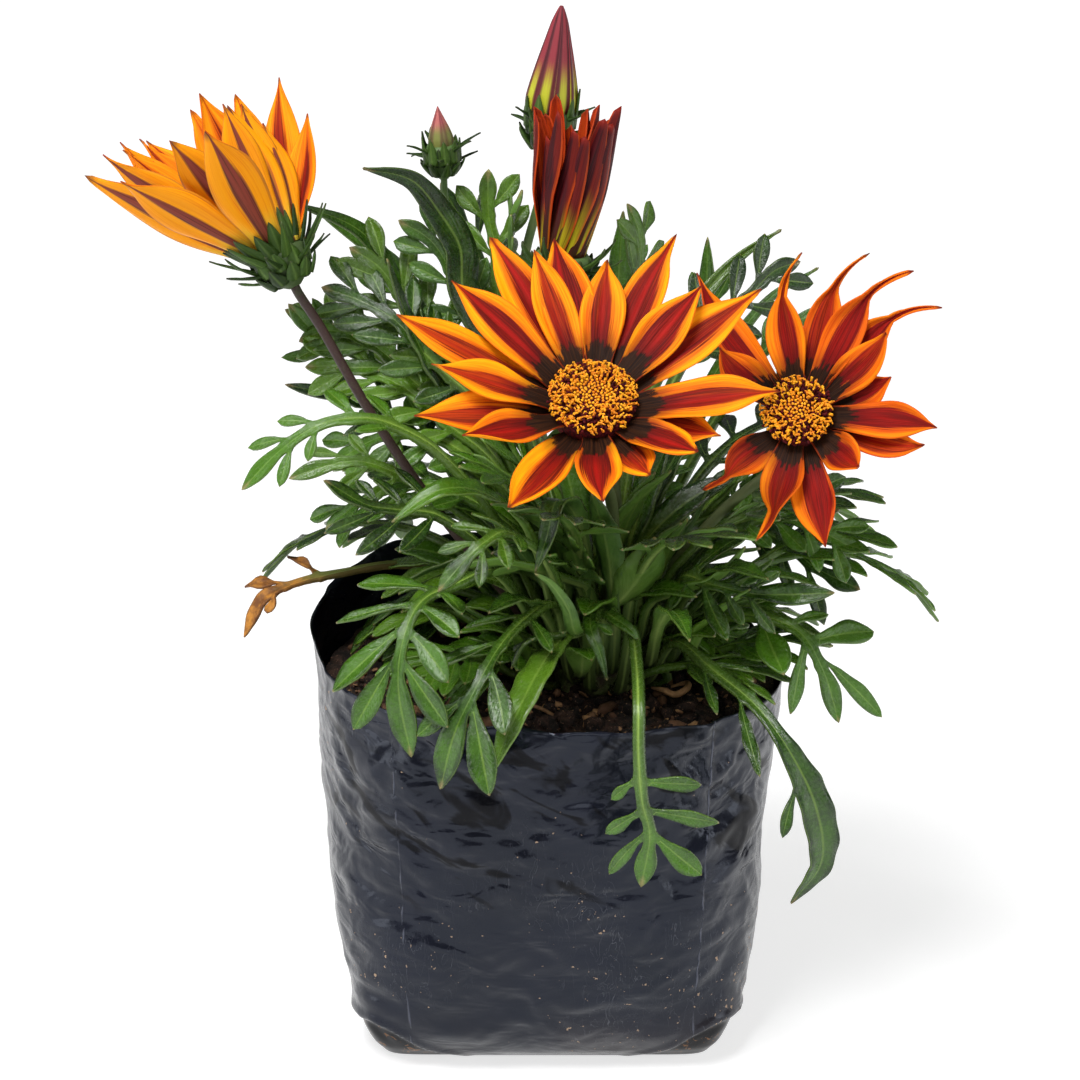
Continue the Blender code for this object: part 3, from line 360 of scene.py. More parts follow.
def tube(growth, path, radius, sides, own=(0, 0, 0), paint=0, ribbed=0.0):
    # a round stem along a path; radius is a function of the share of its length
    rib = Rib(path)
    rows = []
    for index, place in enumerate(path):
        forward, up = rib.forward(index), rib.ups[index]
        side = forward.cross(up)
        along = rib.lengths[index] / rib.length
        row = []
        for step in range(sides):
            angle = math.tau * step / sides
            reach = radius(along) * (1 + ribbed * math.cos(5 * angle))
            spot = place + (side * math.cos(angle) + up * math.sin(angle)) * reach
            row.append(growth.point(spot, abs(2 * step / sides - 1), along, (rib.lengths[index], 0, 0), own))
        rows.append(row)
    start, end = [[growth.point(path[last], 0.5, -last, own=own)] * sides for last in (0, -1)]
    growth.skin([row[::-1] for row in [start, *rows, end]], True, paint)


# Leaves

leafTraits = {
    "gap": 0.95,  # between rows of points on the blade
    "petioleGap": 3.0,
    "columns": (-1, -0.62, -0.2, 0, 0.2, 0.62, 1),
    "petioleWidth": 2.3,
    "petioleDepth": 1.7,
    "sheet": 0.5,
    "fold": 0.2,  # how far the halves rise from the midrib
    "groove": 0.16,
    "lobeOutline": [
        (0, 0.4), (0.15, 0.43), (0.32, 0.66), (0.5, 0.93), (0.63, 1), (0.76, 0.9), (0.88, 0.62), (0.96, 0.28),
        (1, 0),
    ],
    "lobeRoot": (1.7, 3.3),  # least and greatest width where a lobe joins the rib
    "fullness": 1.3,
    "droop": 0.12,
    "wave": 0.3,
}


def climb(flat, slope):
    # a level heading that is turned upward by a slope
    return flat * math.cos(math.radians(slope)) + upward * math.sin(math.radians(slope))


def crownSlot(toward, lift):
    # the first two points of a rib that leaves the crown
    out = climb(Vector((toward.x, toward.y, 0)).normalized(), lift)
    return [out * (crown["radius"] + crown["gap"]), out * (crown["radius"] + crown["neck"])]


def crownTurn(toward, turn, lift):
    across = Vector((-toward.y, toward.x, 0)).normalized()
    rise = Matrix.Rotation(math.radians(-lift), 4, across)
    return Matrix.Translation(crown["place"]) @ Matrix.Rotation(math.radians(turn), 4, "Z") @ rise


def leaf(lift, roll, tip, tipStart, way, lobes=(), strip=2.6):
    # a leaf's rib leaves the crown's dome and runs along way; a lobe is
    # (share of the rib, side, length, angle from the rib, width)
    points = [Vector(point) - crown["place"] for point in way]
    shape = {"path": crownSlot(points[0], lift) + points, "toward": points[len(points) // 2]}
    return shape | {"roll": roll, "tip": tip, "tipStart": tipStart, "strip": strip, "lobes": list(lobes)}


def strap(lift, width, way, roll=0, lobes=()):
    return leaf(lift, roll, width, 0.5, way, lobes, strip=3.0)


def cut(lift, roll, way, first=0.6, pairs=5, size=11.0):
    # a leaf cut into narrow lobes along its outer part
    lobes = []
    for pair in range(pairs):
        for side in (-1, 1):
            share = first + (0.94 - first) * (pair + 0.3 * (side > 0)) / (pairs - 0.5)
            reach = size * (0.75 + 0.35 * math.sin(math.pi * (pair + 1) / (pairs + 1)))
            lobes.append((share, side, reach, 60 - 6 * pair, 3.5))
    return leaf(lift, roll, 4.4, 0.93, way, lobes)


fillerTraits = {
    "bends": 5,
    "pairs": 3,
    "lobe": 13.0,
    "longer": 3.0,  # what the middle lobes have more
    "first": 0.57,  # share of the rib at the first pair
    "step": 0.12,
    "angle": 60,
    "closer": 13,  # degrees by which each pair lies closer to the rib
    "width": 3.8,
    "blade": {"tip": 4.6, "tipStart": 0.87, "strip": 2.6},
}


def fillerLeaf(azimuth, lift, length, rise, fall, chance):
    # a lobed leaf that leaves the crown at an azimuth and bends from one slope to another
    traits, flat = fillerTraits, around(math.radians(azimuth))
    path = crownSlot(flat, lift)
    for slope in spread(traits["bends"], rise, fall):
        path.append(path[-1] + climb(flat, slope) * (length / traits["bends"]))
    lobes = []
    for pair in range(traits["pairs"]):
        share, angle = traits["first"] + traits["step"] * pair, traits["angle"] - traits["closer"] * pair
        longer = traits["longer"] * math.sin(math.pi * (pair + 1) / (traits["pairs"] + 1))
        for side in (-1, 1):
            size = (traits["lobe"] + longer) * chance.uniform(0.8, 1.15)
            lobes.append((share, side, size, angle, traits["width"]))
    shape = {"path": path, "toward": path[4], "roll": chance.uniform(-12, 12)}
    return shape | traits["blade"] | {"lobes": lobes}


def settledPlace(shape, tree):
    # the turn about the crown at which the leaf's rib ends on the CAD node, or None
    path = smoothPath(shape["path"])
    rib = Rib(path, shape["roll"])
    root, forward, side, up = rib.at(0.0)
    best = (math.inf, None)
    for turn in range(-crown["turn"], crown["turn"] + 1, 2):
        for lift in range(-crown["lift"], crown["lift"] + 1, 2):
            matrix = crownTurn(shape["toward"], turn, lift)
            away = tree.find((matrix @ path[-1]) * mm)[2] / mm
            if away < 0.6:
                # the tip fits, so the stalk's edge has to fit as well
                edge = (matrix @ (root + side * 1.2)) * mm
                away += tree.find(edge)[2] / mm
            if away < best[0]:
                best = (away, matrix)
    return best[1] if best[0] < crown["near"] else None


def halfWidth(share, shape, first, roots, length):
    # the stalk widens to a strip where the lobes start, swells at each lobe's root and ends in the tip
    petiole = shape.get("petiole", leafTraits["petioleWidth"]) / 2
    strip = petiole + (shape["strip"] / 2 - petiole) * ease(share, first - 0.04, first + 0.06)
    inner = (share - shape["tipStart"]) / (1 - shape["tipStart"])
    if inner > 0:
        strip *= (1 - inner) ** 0.6
    for root, wide in roots.items():
        strip += 0.45 * math.exp(-(((share - root) * length / wide) ** 2) * 2)
    swell = min(1.0, max(0.0, 0.15 + 0.85 * inner))
    blade = shape["tip"] / 2 * math.sin(math.pi * swell) ** 0.85
    return max(0.05, (strip ** 3 + blade ** 3) ** (1 / 3))


def foldLift(half, column):
    # the halves rise from the midrib, which lies in a groove
    rise = half * leafTraits["fold"] * abs(column) ** 1.5
    return rise - leafTraits["groove"] * math.exp(-((column / 0.2) ** 2))


def growLeaf(growth, shape, matrix, chance):
    traits = leafTraits
    rib = Rib(smoothPath(shape["path"]), shape["roll"])
    length = rib.length
    roots = {}
    for share, side, size, angle, width in shape["lobes"]:
        least, most = traits["lobeRoot"]
        roots[share] = max(roots.get(share, 0), min(max(width * 0.55, least), most))
    first = min(list(roots) + [shape["tipStart"]]) - 0.06
    shares = [root + wide * step / 6 / length for root, wide in roots.items() for step in range(-3, 4)]
    reach = 0.0
    while reach < length - 0.3:
        if all(abs(reach - root * length) > wide / 2 + 0.3 for root, wide in roots.items()):
            shares.append(reach / length)
        reach += traits["petioleGap"] if reach / length < first - 0.08 else traits["gap"]
    shares.sort()
    own = drawn(chance)
    own = shape.get("tone", own)
    phase = chance.uniform(0, 9)
    wave = traits["wave"] * shape.get("crumple", 1)
    rows = []
    for share in shares:
        place, forward, side, up = rib.at(share)
        half = halfWidth(share, shape, first, roots, length)
        stalk = 1 - ease(share, first - 0.12, first + 0.3)
        row = []
        for column in traits["columns"]:
            swing = wave * math.sin(share * length * 0.7 + phase + column) * abs(column) ** 2
            lift = foldLift(half, column) + swing * ease(half, 1.2, 3.5)
            spot = matrix @ (place + side * half * column + up * lift)
            marks = (float(abs(column) == 1), float(column == 0), stalk)
            thick = round(stalk * 0.85 + 0.15 * (share < 0.97), 1)
            row.append(growth.point(spot, (column + 1) / 2, share, marks, own, thick))
        rows.append(row)
    place, forward, side, up = rib.at(1.0)
    tip = growth.point(matrix @ place, 0.5, 1.0, (1, 0, 0), own, 0)
    growth.skin(rows + [[tip] * len(traits["columns"])])
    for share, side, size, angle, width in shape["lobes"]:
        place, forward, right, up = rib.at(share)
        turn = math.radians(angle + chance.uniform(-5, 5))
        out = forward * math.cos(turn) + right * side * math.sin(turn)
        across = (right * side * math.cos(turn) - forward * math.sin(turn)) * side
        near = share - roots[share] / 2 / length
        start = min(range(len(shares)), key=lambda index: abs(shares[index] - near))
        edge = [rows[start + step][6 if side > 0 else 0] for step in range(7)][:: -1 if side > 0 else 1]
        back = matrix.inverted()
        spots = [back @ growth.points[index] for index in edge]
        for index in edge[1:-1]:
            growth.marks[index] = (0, 0, growth.marks[index][2])
        middle = spots[3]
        bend, twist = chance.uniform(-0.08, 0.08), chance.uniform(-0.35, 0.35)
        steps = max(8, round(size / 1.15))
        grid = [edge]
        for step in range(1, steps):
            part = step / steps
            half = width * traits["fullness"] / 2 * readCurve(traits["lobeOutline"], part)
            spin = Matrix.Rotation(twist * part, 3, out)
            wide, high = spin @ across, spin @ up
            centre = middle + out * size * part + forward * size * 0.1 * part * part
            centre += across * size * bend * part * part - up * size * traits["droop"] * part * part
            held = 1 - ease(part, 0, 0.24)
            row = []
            for column, spot in zip(traits["columns"], spots):
                lift = foldLift(half, column)
                lift += wave * 0.7 * math.sin(part * size * 0.8 + phase + column) * abs(column) ** 2
                loose = centre + wide * half * column + high * lift
                tied = centre + (spot - middle)
                marks = (float(abs(column) == 1), float(column == 0), 0)
                spot = matrix @ loose.lerp(tied, held)
                row.append(growth.point(spot, (column + 1) / 2, part, marks, own, 0))
            grid.append(row)
        end = middle + out * size + forward * size * 0.1 + across * size * bend - up * size * traits["droop"]
        last = growth.point(matrix @ end, 0.5, 1.0, (1, 0, 0), own, 0)
        growth.skin(grid + [[last] * 7])


def leafPaint(name, dark, light, vein, rough):
    paint = Paint(name, Specular_IOR_Level=0.5)
    across, along, off = paint.blade()
    margin, midrib, stalk = paint.marks("marks")
    first, second, third = paint.marks("own")
    place = paint.place()
    broad = paint.cloud(place, 110, 2)
    mottle = paint.cloud(place, 900, 3, 0.6)
    hair = paint.cloud(place, 4200, 2, 0.6)
    stripes = paint.cloud(paint.join(along * 26 - off * 5 + first * 9, off * 2.2, second * 7), 1, 2)
    shade = broad * 0.6 + first * 0.55 + (mottle - 0.5) * 0.35 - paint.ease(off, 0.5, 1.0) * 0.15
    colour = paint.mix(paint.ease(shade, 0.2, 0.85), dark, light)
    colour = paint.mix((stripes - 0.4) * 0.4, colour, light)
    colour = paint.mix(paint.ease(third + broad * 0.5, 0.9, 1.3) * 0.5, colour, tint(92, 128, 26))
    colour = paint.mix(paint.ease(hair, 0.55, 0.78) * 0.13, colour, tint(140, 156, 120))
    edgeGreen = paint.mix(second, tint(66, 92, 34), tint(92, 118, 46))
    colour = paint.mix(stalk * 0.7, colour, edgeGreen)
    # stalks darker towards their roots at the crown: partly their own darker colour, partly painted shade
    colour = paint.mix(paint.ease(along, 0.3, 0.02) * stalk * 0.75, colour, tint(44, 44, 22))
    rib = paint.ease(off + (mottle - 0.5) * 0.05, 0.12, 0.02) * (1 - along * 0.5)
    wide = paint.ease(off, 0.5, 0.1) * stalk * paint.ease(along, 0.1, 0.5)
    colour = paint.mix(rib * 0.42 + wide * 0.55, colour, vein)
    colour = paint.mix(paint.ease(margin, 0.9, 1.0) * (1 - stalk) * 0.16, colour, vein)
    colour = paint.mix(paint.ease(along - off * 0.02, 0.965, 0.99) * 0.6, colour, tint(150, 128, 88))
    relief = stripes * 0.6 + mottle * 0.45 + broad * 0.3 + hair * 0.12
    return paint.finish(colour, rough + (mottle - 0.5) * 0.35 + rib * 0.08, relief, 0.6, 0.6)


leafGreen = [
    leafPaint("leafTop", tint(13, 36, 5), tint(66, 108, 16), tint(146, 176, 78), 0.26),
    leafPaint("leafUnder", tint(48, 82, 24), tint(92, 130, 44), tint(150, 174, 92), 0.55),
]

leafShapes = {
    "front_hanging": leaf(
        12, 0, 5.0, 0.91,
        [
            (21, -28, 116), (22, -48, 114), (22, -65, 110), (22, -69, 100), (23, -70, 87), (25, -70, 78),
            (23, -70, 64),
        ],
        [
            (0.75, 1, 7, 60, 2.1), (0.75, -1, 13, 85, 3.3), (0.82, -1, 16, 65, 3.3), (0.82, 1, 10, 75, 2.6),
            (0.88, -1, 14, 50, 4.4), (0.88, 1, 13, 45, 2.6),
        ],
    ),
    "front_left": leaf(
        30, -10, 7.0, 0.83,
        [(-12, -28, 131), (-23, -40, 132), (-31, -50, 131), (-35, -58, 124), (-36, -62, 113), (-33, -64, 96)],
        [
            (0.58, 1, 18, 70, 4.8), (0.58, -1, 10, 80, 3.8), (0.65, 1, 18, 60, 2.4), (0.65, -1, 13, 75, 4.0),
            (0.72, 1, 20, 40, 5.0), (0.72, -1, 15, 60, 4.4), (0.79, 1, 18, 28, 4.6), (0.79, -1, 17, 42, 4.8),
        ],
    ),
    "front_second": leaf(
        22, -15, 7.0, 0.82,
        [(3, -24, 122), (-4, -38, 125), (-11, -52, 123), (-16, -62, 118), (-22, -67, 107), (-26, -68, 92)],
        [
            (0.47, 1, 13, 45, 2.6), (0.47, -1, 14, 50, 2.6), (0.60, 1, 15, 40, 3.0), (0.69, -1, 16, 40, 4.6),
            (0.78, -1, 20, 35, 5.8), (0.78, 1, 13, 32, 3.6),
        ],
    ),
    "front_strap": strap(
        15, 9.0, [(10, -26, 116), (3, -40, 117), (-3, -56, 114), (-8, -66, 107), (-14, -70, 94)],
    ),
    "right_strap": leaf(
        15, 25, 8.4, 0.60,
        [
            (32, -22, 110), (42, -38, 108), (52, -52, 104), (60, -61, 95), (66, -63, 82), (68, -60, 66),
            (61, -57, 53),
        ],
        [(0.33, -1, 8, 45, 1.8), (0.33, 1, 14, 30, 2.1), (0.45, 1, 22, 28, 2.4), (0.68, 1, 11, 45, 2.3)],
        strip=3.4,
    ) | {"tone": (0.27, 0.4, 0.1), "crumple": 1.6},
    "right_front": leaf(
        35, 55, 5.5, 0.76,
        [(34, -14, 124), (42, -22, 125), (51, -28, 125), (60, -34, 127), (71, -38, 129)],
        [
            (0.44, 1, 9, 85, 2.6), (0.44, -1, 17, 80, 5.4), (0.52, 1, 16, 45, 3.6), (0.61, -1, 11, 50, 2.6),
            (0.61, 1, 9, 50, 2.6), (0.70, -1, 7, 45, 2.2), (0.70, 1, 11, 45, 2.4),
        ],
    ),
    "right_low": leaf(
        25, 30, 5.0, 0.82,
        [(39, -10, 111), (54, -18, 115), (64, -24, 113), (70, -29, 104), (74, -31, 91)],
        [
            (0.52, 1, 19, 55, 6.2), (0.62, -1, 9, 60, 2.6), (0.71, -1, 17, 80, 5.4), (0.71, 1, 17, 50, 3.1),
            (0.79, -1, 19, 25, 3.3),
        ],
    ),
    "left_arm": leaf(
        48, -60, 4.0, 0.90,
        [
            (-12, -10, 138), (-27, -14, 158), (-37, -16, 165), (-45, -18, 168), (-56, -20, 167),
            (-66, -22, 161), (-76, -24, 151),
        ],
        [
            (0.65, 1, 8, 50, 3.8), (0.65, -1, 9, 25, 2.1), (0.73, 1, 9, 55, 3.8), (0.81, -1, 7, 50, 2.3),
            (0.81, 1, 8, 40, 2.3), (0.87, -1, 9, 35, 2.3), (0.87, 1, 9, 30, 2.3),
        ],
    ),
    "left_mid": leaf(
        42, -60, 4.0, 0.88,
        [(-12, -2, 128), (-27, -4, 141), (-37, -6, 147), (-47, -8, 151), (-56, -10, 150), (-65, -12, 147)],
        [
            (0.60, -1, 11, 60, 2.8), (0.69, -1, 11, 60, 2.5), (0.69, 1, 10, 60, 3.1), (0.78, -1, 9, 50, 2.3),
            (0.78, 1, 7, 40, 2.3), (0.85, 1, 8, 30, 2.0),
        ],
    ),
    "left_dark": leaf(
        36, -55, 4.0, 0.88,
        [(-12, -14, 128), (-27, -20, 143), (-38, -24, 146), (-45, -26, 148), (-55, -28, 155)],
        [
            (0.66, -1, 16, 60, 3.1), (0.66, 1, 14, 65, 2.8), (0.75, -1, 17, 48, 3.1), (0.75, 1, 10, 60, 2.6),
            (0.83, -1, 14, 35, 2.6), (0.83, 1, 7, 50, 2.3),
        ],
    ),
    "left_oval": strap(40, 7.0, [(-4, -24, 140), (-15, -32, 153), (-26, -38, 156), (-38, -42, 149)], -50),
    "centre_small": leaf(
        38, -40, 4.5, 0.88,
        [(-4, -30, 136), (-16, -42, 148), (-23, -48, 147), (-28, -50, 143), (-34, -52, 137)],
        [
            (0.70, -1, 10, 60, 3.0), (0.70, 1, 9, 70, 3.0), (0.77, -1, 10, 60, 3.0), (0.77, 1, 9, 60, 2.4),
            (0.84, -1, 9, 50, 2.4), (0.84, 1, 8, 40, 2.4),
        ],
    ),
    "right_far": leaf(
        45, 60, 5.0, 0.88,
        [(43, 14, 123), (54, 16, 126), (63, 14, 123), (70, 10, 118), (82, 6, 113)],
        [
            (0.57, -1, 10, 65, 3.1), (0.57, 1, 11, 60, 3.1), (0.69, -1, 15, 55, 4.4), (0.69, 1, 12, 55, 2.8),
            (0.81, -1, 9, 40, 3.1), (0.81, 1, 14, 40, 3.1),
        ],
    ),
    "thin_lobed": leaf(
        40, -45, 3.0, 0.86,
        [(-9, 10, 139), (-25, 12, 152), (-33, 12, 160), (-42, 12, 166), (-62, 10, 173)],
        [
            (0.62, 1, 9, 60, 3.0), (0.62, -1, 10, 60, 2.6), (0.74, -1, 11, 50, 2.2), (0.74, 1, 12, 40, 2.2),
            (0.82, 1, 9, 30, 2.0),
        ],
    ),
    "back_arch": leaf(
        42, -45, 4.0, 0.92,
        [(-12, 26, 139), (-28, 28, 161), (-42, 28, 173), (-54, 26, 181), (-61, 24, 190)],
        [
            (0.68, -1, 11, 60, 2.8), (0.68, 1, 10, 55, 2.6), (0.77, -1, 13, 55, 2.5), (0.77, 1, 10, 45, 2.6),
            (0.86, -1, 12, 45, 2.4), (0.86, 1, 11, 35, 2.4),
        ],
    ),
    "antler": leaf(
        50, -45, 4.0, 0.92,
        [(-8, 32, 143), (-20, 36, 164), (-31, 36, 178), (-42, 36, 186), (-54, 34, 195)],
        [
            (0.70, 1, 9, 45, 2.6), (0.78, 1, 10, 40, 2.6), (0.78, -1, 9, 50, 2.4), (0.87, -1, 8, 50, 2.3),
            (0.87, 1, 10, 40, 2.6),
        ],
    ),
    "strap_left": strap(
        58, 6.0, [(-4, 22, 149), (-15, 26, 175), (-24, 26, 197), (-31, 24, 212), (-47, 18, 223)],
    ),
    "strap_inner": strap(
        62, 6.5, [(0, 30, 149), (-10, 34, 173), (-17, 34, 189), (-25, 32, 205), (-41, 26, 222)], 0,
        [(0.76, -1, 12, 40, 2.8)],
    ),
    "upright_left": strap(
        55, 7.0, [(-7, 16, 145), (-20, 18, 167), (-27, 18, 181), (-31, 18, 193), (-34, 16, 204)], 0,
        [(0.74, 1, 15, 35, 3.1)],
    ),
    "back_lobed": leaf(
        66, -20, 4.0, 0.91,
        [(1, 38, 146), (-7, 44, 172), (-10, 44, 192), (-14, 42, 204), (-20, 40, 217)],
        [
            (0.72, -1, 12, 40, 2.8), (0.79, 1, 13, 45, 2.6), (0.79, -1, 13, 30, 2.4), (0.86, 1, 12, 35, 2.4),
            (0.86, -1, 9, 35, 2.2),
        ],
    ),
    "behind_bloom": leaf(
        70, 0, 6.0, 0.70,
        [(12, 40, 146), (16, 46, 172), (17, 46, 188), (18, 46, 206)],
        [(0.78, -1, 10, 25, 2.4), (0.86, 1, 8, 25, 2.2)],
        strip=4.0,
    ),
    "back_right_up": leaf(
        60, 0, 4.5, 0.75,
        [(25, 36, 144), (33, 42, 165), (39, 44, 181), (39, 44, 200)],
        [(0.68, 1, 9, 35, 2.6), (0.84, 1, 9, 22, 2.4), (0.84, -1, 7, 25, 2.2)],
    ),
    "thin_strap": strap(55, 2.8, [(27, 30, 143), (38, 34, 173), (48, 36, 190), (60, 36, 200)]),
    "back_antler": leaf(
        48, 0, 3.2, 0.91,
        [(30, 38, 138), (41, 42, 165), (51, 42, 181), (62, 42, 191)],
        [(0.72, 1, 9, 35, 2.2), (0.72, -1, 8, 40, 2.2), (0.83, 1, 9, 28, 2.2), (0.83, -1, 8, 30, 2.0)],
    ),
    "dead": leaf(
        20, 0, 3.0, 0.84,
        [(-18, 18, 113), (-39, 16, 117), (-54, 12, 116), (-66, 6, 115), (-74, 2, 112), (-79, 0, 102)],
        [(0.72, 1, 11, 80, 1.8), (0.82, 1, 9, 35, 3.4), (0.86, -1, 5, 50, 2.2)],
    ) | {"petiole": 1.3, "strip": 1.9, "crumple": 3.4, "tip": 4.2},
}

# Filling leaves: (name, how many, first azimuth, last azimuth, slot height, length, start and end slope)
fillers = [
    ("back_low", 6, 8, 168, 14, 92, 62, -48),
    ("back_middle", 5, 25, 150, 36, 88, 68, -10),
    ("front_middle", 4, -150, -20, 52, 66, 74, 8),
]


def deadPaint():
    paint = Paint("deadLeaf", Specular_IOR_Level=0.3)
    margin, midrib, stalk = paint.marks("marks")
    place = paint.place()
    patch = paint.cloud(place, 160, 4, 0.65)
    grain = paint.cloud(place, 1500, 3)
    green = paint.ease(stalk + (patch - 0.5) * 0.6, 0.15, 0.7)
    dry = paint.mix(paint.ease(patch, 0.38, 0.6), tint(176, 118, 44), tint(104, 62, 26))
    colour = paint.mix(green, dry, tint(104, 112, 54))
    colour = paint.mix(paint.ease(margin, 0.5, 1.0) * 0.6, colour, tint(84, 48, 24))
    return paint.finish(colour, 0.62 + (grain - 0.5) * 0.3, patch + grain * 0.4, 0.6, 0.9)


def nodeTree(node):
    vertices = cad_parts[node].data.vertices
    tree = KDTree(len(vertices))
    for index, vertex in enumerate(vertices):
        tree.insert(vertex.co, index)
    tree.balance()
    return tree


def leafPiece(growth, name, paints=leafGreen, slot="leaf_green", node=None):
    # the stalks are thick and the blades are thin
    depth = leafTraits["petioleDepth"]
    growth.piece(name, paints, node, slot, depth, leafTraits["sheet"] / depth)


def makeLeaves():
    dried = deadPaint()
    shapes = [("leaf_" + name, shape) for name, shape in leafShapes.items()]
    chance = random.Random(5)
    for name, count, first, last, lift, length, rise, fall in fillers:
        for index, azimuth in enumerate(spread(count, first, last)):
            size = length * chance.uniform(0.88, 1.08)
            shape = fillerLeaf(azimuth, lift, size, rise, fall, chance)
            shapes.append((f"leaf_{name}_{index + 1}", shape))
    lost = []
    for node, shape in shapes:
        matrix = settledPlace(shape, nodeTree(node))
        if matrix is None:
            lost.append(node)
            matrix = crownTurn(shape["toward"], 0, 0)
        growth = Growth()
        growLeaf(growth, shape, matrix, random.Random(node))
        looks = ([dried], "leaf_dead") if node == "leaf_dead" else (leafGreen, "leaf_green")
        leafPiece(growth, pieceName(node), *looks, node)
    print("leaves:", len(shapes), "without their place:", lost)


makeLeaves()

# Leaves of the close middle, which have no solids of their own
innerShapes = [
    strap(
        35, 3.2,
        [(14, -20, 117), (10, -30, 118), (7, -38, 119), (5, -42, 127), (1, -42, 133), (-3, -40, 135)],
    ),
    strap(
        32, 3.0, [(14, -20, 117), (11, -30, 120), (11, -38, 119), (13, -42, 115), (15, -42, 107)], 0,
        [(0.72, -1, 5, 40, 2.0)],
    ),
    leaf(
        30, 0, 3.0, 0.7, [(17, -18, 116), (15, -28, 120), (18, -34, 120), (21, -38, 119), (23, -38, 116)],
        [(0.66, 1, 7, 40, 2.4)],
    ),
    leaf(
        30, 0, 2.6, 0.9,
        [(13, -18, 114), (8, -30, 116), (3, -38, 118), (-2, -42, 119), (-6, -45, 118), (-9, -46, 112)],
        [(0.7, -1, 4, 50, 1.6), (0.76, 1, 4, 50, 1.6), (0.82, -1, 4, 40, 1.6), (0.88, 1, 3, 40, 1.4)],
    ),
    leaf(62, 0, 11.5, 0.5, [(15, -14, 115), (21, -18, 123), (25, -20, 130), (27, -22, 138)]),
    strap(58, 8.5, [(28, -4, 118), (33, 0, 126), (38, 2, 134), (42, 2, 143)]),
    leaf(
        50, 0, 5.0, 0.8, [(11, -14, 121), (3, -22, 128), (-4, -30, 133), (-10, -35, 136), (-21, -40, 137)],
        [(0.66, -1, 9, 60, 4.0), (0.58, -1, 4, 60, 2.6), (0.7, 1, 8, 50, 3.0)],
    ),
    strap(66, 6.5, [(10, -14, 133), (6, -26, 148), (2, -33, 151), (0, -38, 144), (-3, -40, 135)]),
    strap(64, 6.5, [(10, -14, 119), (8, -17, 129), (4, -20, 142)]),
    strap(58, 6.5, [(3, -14, 118), (-4, -18, 130), (-9, -22, 136), (-14, -26, 135)]),
    leaf(
        8, 0, 5.5, 0.72, [(-2, -12, 103), (-9, -20, 106), (-15, -26, 109), (-21, -30, 109)],
        [(0.6, 1, 8, 55, 4.4), (0.6, -1, 8, 55, 4.4), (0.74, 1, 6, 45, 3.4), (0.74, -1, 6, 45, 3.4)],
    ),
    strap(12, 5.0, [(-2, -8, 104), (-9, -10, 108), (-16, -14, 113), (-21, -16, 117)]),
    strap(48, 7.0, [(26, -12, 117), (36, -16, 122), (44, -18, 126), (50, -18, 134)]),
    strap(26, 6.0, [(29, -6, 108), (39, -8, 112), (50, -8, 115), (58, -6, 117)]),
    strap(6, 4.6, [(29, -8, 104), (37, -12, 107), (41, -15, 105), (43, -16, 103)]),
    strap(50, 7.0, [(3, -8, 118), (-7, -8, 124), (-17, -12, 124), (-25, -16, 121)]),
    strap(60, 6.0, [(3, 4, 122), (-9, 4, 133), (-20, 0, 139), (-30, -4, 141)]),
    strap(
        72, 8.5,
        [(-8, 14, 165), (-21, 12, 192), (-22, 14, 203), (-27, 14, 212), (-34, 12, 221), (-46, 8, 225)],
        -50,
    ),
    cut(
        74, -60, [(-6, 20, 160), (-20, 18, 186), (-25, 20, 196), (-30, 22, 203), (-38, 22, 208)], 0.66, 4, 10,
    ),
    cut(
        68, -60,
        [(-10, 14, 150), (-27, 14, 177), (-31, 18, 182), (-37, 22, 187), (-43, 24, 195), (-51, 26, 200)],
        0.6, 5, 12,
    ),
    cut(
        66, -55, [(-14, 10, 158), (-30, 10, 175), (-39, 14, 184), (-48, 18, 188), (-58, 20, 191)], 0.62, 5,
        12,
    ),
    cut(62, -55, [(-14, 8, 150), (-34, 12, 168), (-45, 16, 177), (-56, 18, 180), (-64, 18, 177)], 0.6, 5, 12),
    cut(58, -50, [(-12, 6, 146), (-27, 6, 160), (-38, 10, 168), (-51, 12, 172), (-62, 12, 172)], 0.6, 5, 11),
    cut(
        76, -60, [(-6, 20, 160), (-13, 24, 190), (-13, 26, 199), (-15, 28, 208), (-15, 28, 220)], 0.66, 4, 10,
    ),
    cut(76, 60, [(-4, 18, 160), (-10, 20, 190), (-9, 22, 200), (-9, 22, 208), (-6, 22, 216)], 0.66, 4, 9),
    cut(76, 50, [(14, 18, 150), (20, 22, 187), (24, 26, 194), (24, 28, 203), (21, 28, 211)], 0.68, 4, 9),
    cut(70, 60, [(26, 12, 150), (40, 18, 180), (51, 24, 186), (59, 28, 193), (66, 30, 195)], 0.64, 4, 11),
    strap(72, 3.6, [(24, 18, 155), (38, 26, 183), (45, 30, 191), (52, 32, 197), (61, 32, 203)], 40),
    cut(54, -50, [(-8, 4, 138), (-25, 4, 154), (-38, 6, 156), (-46, 8, 153), (-55, 8, 147)], 0.6, 4, 10),
    cut(46, -45, [(-6, -2, 130), (-25, -2, 144), (-34, 0, 144), (-46, 2, 140), (-57, 0, 132)], 0.56, 5, 11),
    cut(58, 50, [(34, 0, 126), (50, 0, 134), (62, -2, 136), (72, -4, 132), (80, -6, 128)], 0.56, 4, 10),
    cut(60, 50, [(32, 6, 126), (46, 8, 136), (56, 8, 138), (66, 8, 138), (76, 6, 135)], 0.56, 4, 10),
]
